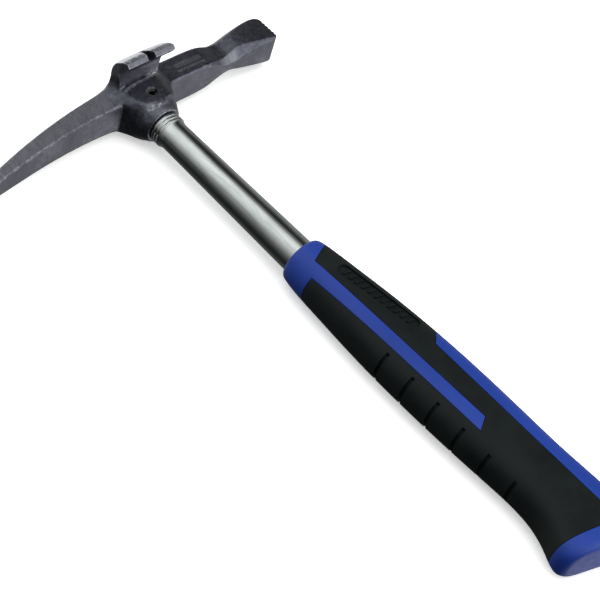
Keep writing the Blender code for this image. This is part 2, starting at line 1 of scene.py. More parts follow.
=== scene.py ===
"""Roofing hammer: finished pieces, finishes, floor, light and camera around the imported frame.

The shapes are drawn in the hammer's own axes, +X towards the striking face, +Y up the shaft and
+Z out of the cheek with the claw, with the shaft's axis on x = z = 0. Each finished piece is then
moved to the place of the frame's shaft.
"""

import math

import bmesh
import bpy
from mathutils import Matrix
from mathutils import Vector


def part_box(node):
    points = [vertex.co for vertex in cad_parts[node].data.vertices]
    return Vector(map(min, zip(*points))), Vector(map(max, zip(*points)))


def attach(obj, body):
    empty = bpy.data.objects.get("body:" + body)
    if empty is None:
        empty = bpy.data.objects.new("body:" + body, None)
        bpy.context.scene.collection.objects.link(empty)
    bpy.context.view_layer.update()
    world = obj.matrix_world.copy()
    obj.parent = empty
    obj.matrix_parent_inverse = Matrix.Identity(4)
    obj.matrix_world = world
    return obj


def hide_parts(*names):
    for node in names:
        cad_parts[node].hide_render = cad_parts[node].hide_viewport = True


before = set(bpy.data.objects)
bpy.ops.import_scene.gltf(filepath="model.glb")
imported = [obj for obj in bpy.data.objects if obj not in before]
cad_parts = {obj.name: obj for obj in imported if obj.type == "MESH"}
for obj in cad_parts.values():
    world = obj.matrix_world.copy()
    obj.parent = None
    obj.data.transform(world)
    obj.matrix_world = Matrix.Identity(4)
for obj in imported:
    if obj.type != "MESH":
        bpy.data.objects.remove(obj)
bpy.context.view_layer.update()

MM = 0.001
GAP = 0.3 * MM

# Overall; a guide is a shape that only cuts others, and reaches past them
FACE_X = 96.0 * MM
HEAD_TOP_Y = 38.5 * MM
CHEEK_Z = 14.0 * MM
GUIDE_REACH = 30 * MM

# Poll: a square bar, a scooped waist and the flared striking block, as stations from hub to face:
# x, lower y, upper y, half width, corner chamfer and extra on the lower facets, in millimetres
POLL_STATIONS = (
    (21.0, 20.9, 36.7, 9.9, 1.0, 0.0),
    (44.5, 20.9, 36.7, 9.9, 1.0, 0.0),
    (51.0, 21.1, 36.9, 8.4, 1.6, 0.0),
    (57.0, 20.8, 37.2, 6.1, 2.6, 0.0),
    (63.5, 20.8, 37.2, 6.1, 2.6, 1.4),
    (70.0, 20.2, 37.2, 9.3, 2.8, 2.4),
    (79.0, 19.9, 37.5, 9.6, 0.9, 2.6),
    (92.6, 18.6, 38.7, 9.6, 0.7, 0.6),
    (95.4, 19.4, 36.0, 9.6, 0.9, 0.0),
    (96.0, 20.0, 34.8, 9.3, 0.7, 0.0),
)
FACE_LOW_Y = 18.6 * MM
FACE_HIGH_Y = 38.7 * MM
LAND_HIGH_Y = 34.8 * MM
TOOTH_COUNT = 6
TOOTH_PITCH = 2.6 * MM
TOOTH_HEIGHT = 0.7 * MM
TOOTH_LAND = 0.9 * MM

# Punched strokes on the near cheek, in millimetres: rows of height, half height and pitch
STROKE_X = 36.0
STROKE_Z = 10.0
STROKE_HALF_X = 9.6
STROKE_ROWS = ((29.2, 1.5, 1.35), (25.6, 0.8, 0.95))

# Pick
PICK_ROOT_X = -21.0 * MM
PICK_CAGE_X = -119.0 * MM
PICK_ROOT_Y = 28.1 * MM
PICK_DROP = 16.2 * MM
PICK_DROP_POWER = 1.75
PICK_ROOT_THICK = 13.4 * MM
PICK_TAPER_THICK = 8.4 * MM
PICK_ROOT_HALF_Z = 9.3 * MM
PICK_TAPER_HALF_Z = 3.4 * MM
PICK_TIP_THIN = 1.9 * MM
PICK_TIP_NARROW = 2.6 * MM
PICK_CHAMFER = 0.6 * MM
PICK_STATIONS = 7

# Hub around the eye: angle round the shaft, lower end of the cheeks, upper cheek and lower cheek
HUB_STATIONS = (
    (150, 13.4, 14.3, 10.0),
    (120, 12.2, 14.5, 13.4),
    (90, 11.8, 14.5, 14.6),
    (60, 11.8, 14.5, 13.6),
    (30, 12.8, 12.9, 11.0),
)
HUB_RING_R = 14.4 * MM
HUB_RING_Y = 9.8 * MM
HUB_TOP_CHAMFER = 2.2 * MM
GRINDER_HALF_X = 26 * MM
GRINDER_TOP_Y = 45 * MM
LEDGE_Y = 27.2 * MM
LEDGE_TILT = 0.1
SKIRT_END_Y = 4.8 * MM
SKIRT_RINGS = ((8.2 * MM, 13.2 * MM), (6.2 * MM, 12.2 * MM), (SKIRT_END_Y, 11.2 * MM),
               (SKIRT_END_Y, 9.8 * MM))
EYE_END_Y = 33.0 * MM

# How firmly the cage's edges hold when it is rounded, and how often it is rounded
HEAD_ROUNDING = 3
BAR_CREASE = 0.75
HUB_CREASE = 0.5
RIDGE_CREASE = 0.6
CLAW_CREASE = 0.7

# Claw on the upper cheek: slanted sections from root to edge, each the underside's z and y, the
# outer side's z and y, and half the width, in millimetres
CLAW_COLUMNS = (-1.0, -0.8, -0.5, 0.0, 0.5, 1.0)
CLAW_ARCH = (
    (13.7, 28.6, 16.0, 37.5, 13.0),
    (18.2, 29.3, 20.0, 37.2, 13.9),
    (22.2, 29.7, 24.6, 36.2, 14.7),
    (25.2, 29.1, 28.4, 34.5, 15.3),
)
CLAW_PRONG = (
    (28.4, 26.6, 32.1, 31.5, 15.7),
    (31.2, 23.8, 34.8, 27.9, 15.9),
    (34.0, 22.4, 36.2, 24.6, 15.9),
)
NOTCH_HALVES = (1.0, 1.8, 2.5)
CLAW_END_DROOP = 0.4 * MM

# Wear on the head: how bent an edge is before it is rubbed, and the places made bright: the claw's
# ground band, and painted highlights along the pad's ridges and on the pin hole's upper rim
WEAR_FROM_BEND = 0.10
WEAR_BEND_RANGE = 0.45
WEAR_SPREADS = 2
POLL_WEAR = 0.55
POLL_WEAR_X = 18.0 * MM
CLAW_BAND_Z = 28.5 * MM
CLAW_BAND_FACES = (0.0, 0.72, 0.69)
PAD_LOW_Z = 11.0 * MM
PAD_HIGH_Z = 17.0 * MM
RIDGE_HIGHLIGHTS = (((-11.0, 26.0), (12.2, 28.0), 0.66), ((-12.0, 9.8), (1.0, 9.6), 0.38))
RIDGE_REACH = 2.4 * MM
RIDGE_FADE = 1.8 * MM
PIN_RIM_WIDTH = 0.6 * MM
PIN_RIM_HIGHLIGHT = 0.8

# Shaft
TUBE_NECK_R = 8.5 * MM
TUBE_GRIP_R = 9.8 * MM
TUBE_TAPER_END_Y = -100.0 * MM
TUBE_EYE_R = 8.3 * MM
TUBE_TOP_Y = 32.4 * MM
TUBE_END_Y = -298.0 * MM
TUBE_WALL = 1.6 * MM
COLLAR_R = 9.6 * MM
COLLAR_LOW_Y = -1.6 * MM
COLLAR_RINGS = 3
RING_HEIGHT = 0.45 * MM
RING_GAP = 0.12 * MM
TUBE_SEGMENTS = 128

# Sharpest bend, in degrees, that is still shaded smooth
HEAD_SHARP = 32.0
TUBE_SHARP = 35.0
GRIP_SHARP = 40.0

# Pin hole, plug, nail groove and magnet
PIN_Y = 17.8 * MM
PIN_R = 2.5 * MM
PIN_HOLE_REACH = 20 * MM
PLUG_FLANGE = 3.0 * MM
GROOVE_R = 2.4 * MM
GROOVE_LENGTH = 15.0 * MM
GROOVE_OVERRUN = 4 * MM
GROOVE_LIFT = 0.9 * MM
MAGNET_R = 3.0 * MM
MAGNET_HEIGHT = 4.0 * MM
MAGNET_SETBACK = 3.5 * MM
MAGNET_SINK = 1.9 * MM

# Grip: ring heights with the reach of each side from the shaft's axis (finger side, palm side)
GRIP_FRONT_Y = -102.6 * MM
GRIP_FORM = (
    (-102.6, 11.6, 11.9, 11.7),
    (-104.0, 12.9, 13.3, 13.0),
    (-108.5, 13.9, 14.4, 13.5),
    (-118.0, 15.0, 15.7, 13.8),
    (-131.0, 15.5, 17.2, 14.0),
    (-150.0, 16.7, 19.8, 14.0),
    (-170.0, 17.8, 22.0, 14.0),
    (-190.0, 18.1, 23.5, 14.0),
    (-210.0, 17.8, 24.2, 14.0),
    (-230.0, 17.0, 24.3, 14.0),
    (-248.0, 15.9, 24.1, 14.0),
    (-262.0, 14.9, 24.0, 14.0),
    (-272.0, 14.6, 24.2, 14.0),
    (-281.0, 15.0, 24.5, 14.0),
    (-289.0, 16.4, 24.9, 14.0),
    (-295.5, 18.3, 25.3, 14.0),
    (-301.0, 20.6, 25.6, 14.0),
    (-306.0, 22.9, 25.8, 14.0),
    (-310.0, 24.0, 25.6, 14.0),
)
BUTT_SLANT = 0.28
BUTT_SLANT_START_Y = -262.0 * MM
BUTT_DOME = 6.0 * MM
BUTT_DOME_RINGS = 4
BUTT_DOME_STEP = 90 / 4.6
GRIP_POINTS = 36
GRIP_ROUNDING = 2
SWELL_LENGTH = 50 * MM
BUTT_SQUARING_LENGTH = 44 * MM
BUTT_SLANT_LENGTH = 34 * MM
PANEL_DEPTH = 2.2 * MM

# Panels of the overmould, seen on a cheek
PANEL_FRONT_Y = -112.5 * MM
PANEL_FRONT_SLOPE = 0.4
FINGER_FRONT_Y = -120.0 * MM
PANEL_END_Y = -305.0 * MM
CHEEK_STRIPE_TIP_Y = -234.5 * MM
PALM_STRIPE_START_Y = -186.5 * MM
PALM_STRIPE_X = 10.2 * MM
PALM_STRIPE_RISE = 15 * MM
BEFORE_GRIP_Y = -90 * MM
PAST_BUTT_Y = -340 * MM
SLOT_COUNT = 6
SLOT_FIRST_Y = -176.4 * MM
SLOT_PITCH = 17.4 * MM
SLOT_WIDTH = 2.0 * MM
SLOT_DEPTH = 1.5 * MM
SLOT_REACH_X = -12.6 * MM

# Sunk window on the near cheek: the ends of its middle line, then sizes, in millimetres
PLAQUE_LINE = ((3.6, -127.0), (10.6, -171.0))
PLAQUE_HALF_WIDTH = 4.1
PLAQUE_END_ROUNDING = 0.7
PLAQUE_DEPTH = 0.9
RIB_COUNT = 11
RIB_HALF_LENGTH = 2.5
RIB_HALF_WIDTH = 0.62
RIB_LEAN = 0.8
RIB_TOP_DEPTH = 0.2



# Finishes of the nodes shown as packed: name, grain (stretch, features a metre, detail), dark and
# light colour, least and most roughness, bump strength and distance, metallic
CARRIED_FINISHES = {
    "spring_pin": ("spring_steel", ((900.0, 900.0, 60.0), 1.0, 3.0), (0.10, 0.10, 0.10),
                   (0.20, 0.20, 0.19), (0.30, 0.45), (0.3, 0.00005), 1.0),
    "nail_magnet": ("magnet_nickel", ((1.0, 1.0, 1.0), 800.0, 3.0), (0.45, 0.43, 0.39),
                    (0.62, 0.60, 0.56), (0.22, 0.38), (0.2, 0.00005), 1.0),
    "damping_dowel": ("beech", ((600.0, 30.0, 600.0), 1.0, 4.0), (0.42, 0.27, 0.15),
                      (0.66, 0.47, 0.29), (0.55, 0.75), (0.4, 0.0001), 0.0),
    "tube_end_plug": ("plug_plastic", ((1.0, 1.0, 1.0), 1800.0, 3.0), (0.035, 0.035, 0.035),
                      (0.06, 0.06, 0.06), (0.45, 0.62), (0.3, 0.00006), 0.0),
}

# Brightness of the room round the shaft's line, by angle from straight up towards the face, and of
# the boards
BANK_LEVELS = (
    (-180, 0.08), (-140, 0.02), (-120, 0.02), (-101, 0.07), (-84, 0.16), (-69, 0.34), (-55, 0.54),
    (-42, 0.82), (-23, 1.00), (-7, 1.10), (7, 0.92), (22, 0.28), (38, 0.03), (53, 0.03), (65, 0.10),
    (79, 0.21), (94, 0.28), (111, 0.40), (130, 0.34), (160, 0.16), (180, 0.08),
)
LOW_BOARD_LEVEL = 0.95
HIGH_BOARD_LEVEL = 0.8
FLOOR_GLOW = 0.40

# Softboxes: name, direction, distance, width, height, power, and whether gloss mirrors it
SOFTBOXES = (
    ("key_softbox", (0.24, 0.12, 0.96), 1.6, 2.4, 2.6, 26.0, False),
    ("low_softbox", (0.32, -0.85, 0.42), 1.3, 1.5, 0.6, 5.0, True),
)

# Camera: its place from the shaft's axis in millimetres, and its right, up and forward directions
CAMERA_LENS = 96.0069
CAMERA_PLACE = (-471.900, -388.793, 599.634)
CAMERA_AXES = ((0.7026635, -0.6724903, 0.2324238), (0.4283542, 0.6606436, 0.6164923),
               (0.5681344, 0.3336269, -0.7522742))

# Place of the shaft in the frame
TUBE_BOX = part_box("shaft_tube")
ORIGIN = Vector(((TUBE_BOX[0].x + TUBE_BOX[1].x) / 2, TUBE_BOX[1].y - TUBE_TOP_Y,
                 (TUBE_BOX[0].z + TUBE_BOX[1].z) / 2))


# ---------------------------------------------------------------- small tools

def make_object(name, bm):
    """A named object holding the mesh, with its faces outward."""
    bmesh.ops.remove_doubles(bm, verts=bm.verts, dist=1e-6)
    bmesh.ops.recalc_face_normals(bm, faces=bm.faces)
    mesh = bpy.data.meshes.new(name)
    bm.to_mesh(mesh)
    bm.free()
    item = bpy.data.objects.new(name, mesh)
    bpy.context.scene.collection.objects.link(item)
    return item


def add_rounding(item, levels):
    """Round a control cage, with the same levels on screen and in a render."""
    rounding = item.modifiers.new("rounding", 'SUBSURF')
    rounding.levels = levels
    rounding.render_levels = levels


def settle(item):
    """Fix the modifiers of a piece into its mesh."""
    bpy.context.view_layer.update()
    depsgraph = bpy.context.evaluated_depsgraph_get()
    mesh = bpy.data.meshes.new_from_object(item.evaluated_get(depsgraph))
    item.modifiers.clear()
    item.data = mesh


def cut(item, guides, operation='DIFFERENCE'):
    """Cut a piece with each guide in turn, and clear the guides away."""
    for guide in guides:
        step = item.modifiers.new(guide.name, 'BOOLEAN')
        step.operation = operation
        step.solver = 'EXACT'
        step.object = guide
        settle(item)
        bpy.data.objects.remove(guide, do_unlink=True)
    return item


def set_down(item, material, angle, body="root", node=None):
    """Move a finished piece to its place, keep it within its node's box, and give it its finish."""
    low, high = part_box(node)
    for vertex in item.data.vertices:
        place = vertex.co + ORIGIN
        vertex.co = [min(max(place[i], low[i]), high[i]) for i in range(3)]
    item.data.materials.clear()
    item.data.materials.append(material)
    item.data.shade_smooth()
    item.data.set_sharp_from_angle(angle=math.radians(angle))
    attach(item, body)
    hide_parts(node)


def loft(bm, rings):
    """Skin rings of corner points, each drawn from the one before, and close both ends."""
    first = [bm.verts.new(point) for point in rings[0]]
    edges = [bm.edges.new(pair) for pair in zip(first, first[1:] + first[:1])]
    rows = [first]
    for ring in rings[1:]:
        drawn = bmesh.ops.extrude_edge_only(bm, edges=edges)['geom']
        fresh = {item for item in drawn if isinstance(item, bmesh.types.BMVert)}
        row = [next(edge.other_vert(v) for edge in v.link_edges if edge.other_vert(v) in fresh)
               for v in rows[-1]]
        for vertex, point in zip(row, ring):
            vertex.co = point
        edges = [bm.edges.get(pair) for pair in zip(row, row[1:] + row[:1])]
        rows.append(row)
    bm.faces.new(rows[0][::-1])
    bm.faces.new(rows[-1])
    return rows


def turned(profile, segments=96):
    """Solid turned about the shaft's axis from (radius, y) points, closed where radius is 0."""
    bm = bmesh.new()
    points = [bm.verts.new((radius, y, 0.0)) for radius, y in profile]
    edges = [bm.edges.new(pair) for pair in zip(points, points[1:])]
    if profile[0][0] > 0.0:
        edges.append(bm.edges.new((points[-1], points[0])))
    bmesh.ops.spin(bm, geom=points + edges, cent=(0, 0, 0), axis=(0, 1, 0), dvec=(0, 0, 0),
                   angle=2 * math.pi, steps=segments, use_merge=True, use_duplicate=False)
    return bm


def prism(outline, low, high):
    """Straight prism from a closed outline of (x, y) pairs, between low and high on z."""
    bm = bmesh.new()
    loft(bm, [[(x, y, level) for x, y in outline] for level in (low, high)])
    return bm


def merge_into(bm, other):
    """Add the shape in other to bm."""
    spare = bpy.data.meshes.new("spare")
    other.to_mesh(spare)
    other.free()
    bm.from_mesh(spare)
    bpy.data.meshes.remove(spare)


def rod_along_z(radius, y, low, high, segments=48):
    """Round rod at height y on the shaft's axis, between low and high on z."""
    bm = bmesh.new()
    made = bmesh.ops.create_cone(bm, cap_ends=True, segments=segments, radius1=radius,
                                 radius2=radius, depth=high - low)
    bmesh.ops.translate(bm, vec=(0, y, (low + high) / 2), verts=made['verts'])
    return bm


# ---------------------------------------------------------------- head

def bar_section(x, low, high, half, chamfer, ledge=None):
    """Twelve points of the bar's section at x: chamfered corners, a centre line and a ledge row."""
    if ledge is None:
        ledge = low + 0.45 * (high - low)
    side = ((low, half - chamfer), (low + chamfer, half), (ledge, half),
            (high - chamfer, half), (high, half - chamfer))
    upper = [Vector((x, y, z)) for y, z in side]
    lower = [Vector((x, y, -z)) for y, z in reversed(side)]
    return [Vector((x, low, 0))] + upper + [Vector((x, high, 0))] + lower


def pick_section(t):
    """Section of the pick, from its root at t = 0 to its point at t = 1."""
    x = PICK_ROOT_X + (PICK_CAGE_X - PICK_ROOT_X) * t
    middle = PICK_ROOT_Y - PICK_DROP * t ** PICK_DROP_POWER
    thick = PICK_ROOT_THICK - PICK_TAPER_THICK * t - PICK_TIP_THIN * t ** 12
    half = PICK_ROOT_HALF_Z - PICK_TAPER_HALF_Z * t - PICK_TIP_NARROW * t ** 8
    return bar_section(x, middle - thick / 2, middle + thick / 2, half, PICK_CHAMFER)


def hub_section(degrees, pad_low, upper, lower):
    """Section of the hub at an angle round the shaft: its lower corners lie on the skirt's ring,
    its cheeks start at pad_low and stand at upper and lower."""
    angle = math.radians(degrees)
    x = HUB_RING_R * math.cos(angle)
    ring_z = HUB_RING_R * math.sin(angle)
    ledge = LEDGE_Y + LEDGE_TILT * x
    section = bar_section(x, HUB_RING_Y, HEAD_TOP_Y, upper, HUB_TOP_CHAMFER, ledge)
    section[1].z = ring_z
    section[11].z = -ring_z
    section[2].y = section[10].y = pad_low
    for index in (7, 8, 9, 10):
        section[index].z += upper - lower
    return section


def widen_lower_corners(section, extra):
    """Widen the facets on both lower corners of a section."""
    for low, side, way in ((1, 2, -1), (11, 10, 1)):
        section[low].z += way * extra
        section[side].y += extra


def head_sections():
    """Sections from the pick's point to the striking face, and the first hub section's place."""
    pick = [pick_section(1.0 - i / (PICK_STATIONS - 1)) for i in range(PICK_STATIONS)]
    left = [bar_section(-16.8 * MM, 20.4 * MM, 36.6 * MM, 10.6 * MM, 1.6 * MM, LEDGE_Y)]
    hub = [hub_section(row[0], *(value * MM for value in row[1:])) for row in HUB_STATIONS]
    for section, sign in ((hub[0], -1), (hub[-1], 1)):
        section[0].x = sign * HUB_RING_R
    poll = [bar_section(16.0 * MM, 20.8 * MM, 37.0 * MM, 10.3 * MM, 1.4 * MM, LEDGE_Y)]
    for station in POLL_STATIONS:
        x, low, high, half, chamfer, extra = (value * MM for value in station)
        poll.append(bar_section(x, low, high, half, chamfer))
        widen_lower_corners(poll[-1], extra)
    return pick + left + hub + poll, len(pick) + len(left)


def crease(bm, edges, amount):
    """Set how firmly some of the cage's edges hold when it is rounded."""
    layer = bm.edges.layers.float['crease_edge']
    for edge in edges:
        edge[layer] = amount


def row_edges(rows, index):
    """Lengthwise edges that join the points of one index from section to section."""
    return [edge for near, far in zip(rows, rows[1:])
            for edge in near[index].link_edges if edge.other_vert(near[index]) is far[index]]


def extrude_faces(bm, faces):
    """Extrude a patch and return its new faces and points."""
    new = bmesh.ops.extrude_face_region(bm, geom=faces)['geom']
    bmesh.ops.delete(bm, geom=faces, context='FACES')
    return ([f for f in new if isinstance(f, bmesh.types.BMFace)],
            [v for v in new if isinstance(v, bmesh.types.BMVert)])


def draw_skirt(bm, faces):
    """Draw the underside of the hub down into the round skirt that the shaft enters."""
    radius = HUB_RING_R
    for y, next_radius in SKIRT_RINGS:
        faces, points = extrude_faces(bm, faces)
        bmesh.ops.scale(bm, vec=(next_radius / radius, 1.0, next_radius / radius), verts=points)
        for point in points:
            point.co.y = y
        radius = next_radius


def draw_claw(bm, faces):
    """Draw the claw out of the upper cheek: a scoop behind the ridge, an arch, then two prongs."""
    for station in CLAW_ARCH:
        faces, points = extrude_faces(bm, faces)
        set_claw_station(bm, points, station, CLAW_COLUMNS, 0.0)
    halves = {side: [f for f in faces if side * f.calc_center_median().x > 0] for side in (-1, 1)}
    for side, prong in halves.items():
        columns = [c for c in CLAW_COLUMNS if side * c >= 0.0]
        for station, gap in zip(CLAW_PRONG, NOTCH_HALVES):
            prong, points = extrude_faces(bm, prong)
            set_claw_station(bm, points, station, columns, side * gap * MM)
        rim = {e for f in prong for e in f.edges if len(set(e.link_faces) & set(prong)) == 1}
        crease(bm, rim, CLAW_CREASE)


def set_claw_station(bm, points, station, columns, gap):
    """Place the points of one slanted claw section in its columns; gap opens the notch."""
    low_z, low_y, high_z, high_y, half = (value * MM for value in station)
    ordered = sorted(points, key=lambda v: v.co.x)
    for index, column in enumerate(columns):
        pair = sorted(ordered[2 * index:2 * index + 2], key=lambda v: v.co.y)
        for point, y, z in zip(pair, (low_y, high_y), (low_z, high_z)):
            point.co = (gap + column * (half - abs(gap)), y, z)
        end = abs(column) == 1.0
        if end:
            pair[1].co.y -= CLAW_END_DROOP
            pair[1].co.z -= CLAW_END_DROOP
        if end or column == 0.0 and gap:
            lengthwise = [e for v in pair for e in v.link_edges if e.other_vert(v) not in points]
            crease(bm, lengthwise, CLAW_CREASE)


def head_cage():
    """The forging's control cage: one bar from point to face, with skirt and claw drawn from it."""
    bm = bmesh.new()
    bm.edges.layers.float.new('crease_edge')
    sections, hub_start = head_sections()
    rows = loft(bm, sections)
    hub_end = hub_start + len(HUB_STATIONS)
    hub_rows = rows[hub_start:hub_end]
    for index in (1, 2, 4, 5, 7, 8, 10, 11):
        crease(bm, row_edges(rows[:hub_start], index), BAR_CREASE)
        crease(bm, row_edges(rows[hub_end:], index), BAR_CREASE)
        crease(bm, row_edges(hub_rows, index), HUB_CREASE)
    bottom = faces_between(hub_rows, (11, 0)) + faces_between(hub_rows, (0, 1))
    cheek = faces_between(rows[hub_start - 1:hub_end], (3, 4))
    crease(bm, row_edges(hub_rows, 3), RIDGE_CREASE)
    corner = rows[hub_start - 1]
    under = [corner[index] for index in (10, 11, 0, 1, 2)]
    crease(bm, [e for e in bm.edges if all(v in under for v in e.verts)], RIDGE_CREASE)
    end_edges = [e for e in bm.edges if all(v in rows[-1] for v in e.verts)]
    crease(bm, end_edges, 1.0)
    draw_skirt(bm, bottom)
    draw_claw(bm, cheek)
    return bm


def faces_between(rows, pair):
    """Faces of one lengthwise strip, between two neighbouring point indices."""
    found = []
    for near, far in zip(rows, rows[1:]):
        corner = {near[pair[0]], near[pair[1]], far[pair[0]], far[pair[1]]}
        found += [f for f in near[pair[0]].link_faces if set(f.verts) == corner]
    return found


def face_grooves():
    """V grooves milled across the striking face, square to the shaft."""
    half = 0.5 * (TOOTH_PITCH - TOOTH_LAND)
    centre = 0.5 * (FACE_LOW_Y + LAND_HIGH_Y)
    bm = bmesh.new()
    for index in range(TOOTH_COUNT - 1):
        middle = centre + (index + 1 - TOOTH_COUNT / 2) * TOOTH_PITCH
        outline = [(FACE_X - TOOTH_HEIGHT, middle), (FACE_X + TOOTH_HEIGHT, middle + 2 * half),
                   (FACE_X + TOOTH_HEIGHT, middle - 2 * half)]
        merge_into(bm, prism(outline, -GUIDE_REACH / 2, GUIDE_REACH / 2))
    return bm


def nail_groove():
    """Half-round groove along the top of the striking block, which holds a nail by its shank."""
    bm = rod_along_z(GROOVE_R, 0.0, 0.0, GROOVE_LENGTH + GROOVE_OVERRUN, 20)
    quarter_turn = Matrix.Rotation(math.radians(90), 3, 'Y')
    bmesh.ops.rotate(bm, cent=(0, 0, 0), matrix=quarter_turn, verts=bm.verts)
    start = (FACE_X - GROOVE_LENGTH, FACE_HIGH_Y + GROOVE_LIFT, 0)
    bmesh.ops.translate(bm, vec=start, verts=bm.verts)
    return bm


def magnet_pocket():
    """Round pocket for the magnet, sunk in the floor of the nail groove."""
    top = 8.0 * MM
    bm = turned([(0, -MAGNET_HEIGHT - GAP), (MAGNET_R + GAP, -MAGNET_HEIGHT - GAP),
                 (MAGNET_R + GAP, top), (0, top)], 24)
    centre = (FACE_X - GROOVE_LENGTH + MAGNET_SETBACK, FACE_HIGH_Y - MAGNET_SINK, 0)
    bmesh.ops.translate(bm, vec=centre, verts=bm.verts)
    return bm


def cheek_grinder():
    """Slab that grinds the lower cheek to a flat pad."""
    outline = [(-GRINDER_HALF_X, 0), (GRINDER_HALF_X, 0), (GRINDER_HALF_X, GRINDER_TOP_Y),
               (-GRINDER_HALF_X, GRINDER_TOP_Y)]
    return prism(outline, -CHEEK_Z - 5 * MM, -CHEEK_Z)


def tube_radius(y):
    """Outer radius of the shaft below the collar, widening down to the grip, then straight."""
    t = min(1.0, max(0.0, y / TUBE_TAPER_END_Y))
    return TUBE_NECK_R + (TUBE_GRIP_R - TUBE_NECK_R) * t


def corner_power(y):
    """Squareness of the section: round in front, slightly boxy in the swell, boxier at the butt."""
    swell = min(1.0, max(0.0, (GRIP_FRONT_Y - y) / SWELL_LENGTH))
    butt = min(1.0, max(0.0, (BUTT_SLANT_START_Y - y) / BUTT_SQUARING_LENGTH))
    return 2.0 + 0.5 * swell + 0.7 * butt


def butt_slant(y):
    """Slope of a ring at height y: level above, then leaning down towards the palm at the butt."""
    t = min(1.0, max(0.0, (BUTT_SLANT_START_Y - y) / BUTT_SLANT_LENGTH))
    return BUTT_SLANT * t * t * (3 - 2 * t)


def grip_ring(station, inset):
    """Ring of the grip's outer form at one station, drawn in by inset."""
    y, finger, palm, half = (value * MM for value in station)
    centre = (palm - finger) / 2
    reach = (palm + finger) / 2 - inset
    half = half - inset
    power = 2.0 / corner_power(y)
    slant = butt_slant(y)
    ring = []
    for i in range(GRIP_POINTS):
        angle = 2 * math.pi * i / GRIP_POINTS
        c, s = math.cos(angle), math.sin(angle)
        x = centre + reach * math.copysign(abs(c) ** power, c)
        z = half * math.copysign(abs(s) ** power, s)
        ring.append(Vector((x, y - slant * x, z)))
    return ring


def grip_form(inset):
    """Solid of the grip's outer form, drawn in by inset, with a domed butt."""
    rings = [grip_ring(station, inset) for station in GRIP_FORM]
    base = rings[-1]
    finger, palm = (value * MM for value in GRIP_FORM[-1][1:3])
    centre = Vector(((palm - finger) / 2, 0, 0))
    for step in range(1, BUTT_DOME_RINGS + 1):
        angle = math.radians(BUTT_DOME_STEP * step)
        shrink = BUTT_DOME * (1 - math.cos(angle))
        drop = Vector((0, (BUTT_DOME - inset) * math.sin(angle), 0))
        outward = [Vector((point.x - centre.x, 0, point.z)).normalized() for point in base]
        rings.append([point - way * shrink - drop for point, way in zip(base, outward)])
    bm = bmesh.new()
    loft(bm, rings)
    return bm


def stripe_outline(grow):
    """Cheek stripe in x, y, from in front of the grip down to its slanted tip."""
    tip = CHEEK_STRIPE_TIP_Y
    return [(-12.3 * MM - grow, -98 * MM), (-11.2 * MM - grow, -120 * MM),
            (-8.4 * MM - grow, tip - grow), (-1.6 * MM + grow, tip + 3.8 * MM - grow),
            (-4.6 * MM + grow, -120 * MM), (-5.6 * MM + grow, -98 * MM)]


def palm_outline(grow):
    """Palm stripe in x, y: from its slanted start to past the butt."""
    start = PALM_STRIPE_START_Y
    return [(PALM_STRIPE_X - grow, start + grow), (GUIDE_REACH, start + PALM_STRIPE_RISE + grow),
            (GUIDE_REACH, PAST_BUTT_Y), (PALM_STRIPE_X - grow, PAST_BUTT_Y)]


def front_outline(grow):
    """Front collar in x, y: everything ahead of the panels' slanted front edges."""
    return [(-GUIDE_REACH, BEFORE_GRIP_Y), (-GUIDE_REACH, FINGER_FRONT_Y - grow),
            (-11 * MM, FINGER_FRONT_Y - grow),
            (-5 * MM, PANEL_FRONT_Y - PANEL_FRONT_SLOPE * 5 * MM - grow),
            (GUIDE_REACH, PANEL_FRONT_Y + PANEL_FRONT_SLOPE * GUIDE_REACH - grow),
            (GUIDE_REACH, BEFORE_GRIP_Y)]


def butt_outline(grow):
    """Butt cap in x, y: everything below the slanted parting line."""
    y = PANEL_END_Y + grow
    rise = BUTT_SLANT * GUIDE_REACH
    return [(-GUIDE_REACH, y + rise), (GUIDE_REACH, y - rise), (GUIDE_REACH, PAST_BUTT_Y),
            (-GUIDE_REACH, PAST_BUTT_Y)]


def finger_slots():
    """Narrow slots across the finger side, cut to an even depth."""
    bm = bmesh.new()
    for index in range(SLOT_COUNT):
        y = SLOT_FIRST_Y - index * SLOT_PITCH
        outline = [(-GUIDE_REACH, y - SLOT_WIDTH / 2), (SLOT_REACH_X, y - SLOT_WIDTH / 2),
                   (SLOT_REACH_X, y + SLOT_WIDTH / 2), (-GUIDE_REACH, y + SLOT_WIDTH / 2)]
        merge_into(bm, prism(outline, -GUIDE_REACH, GUIDE_REACH))
    return bm


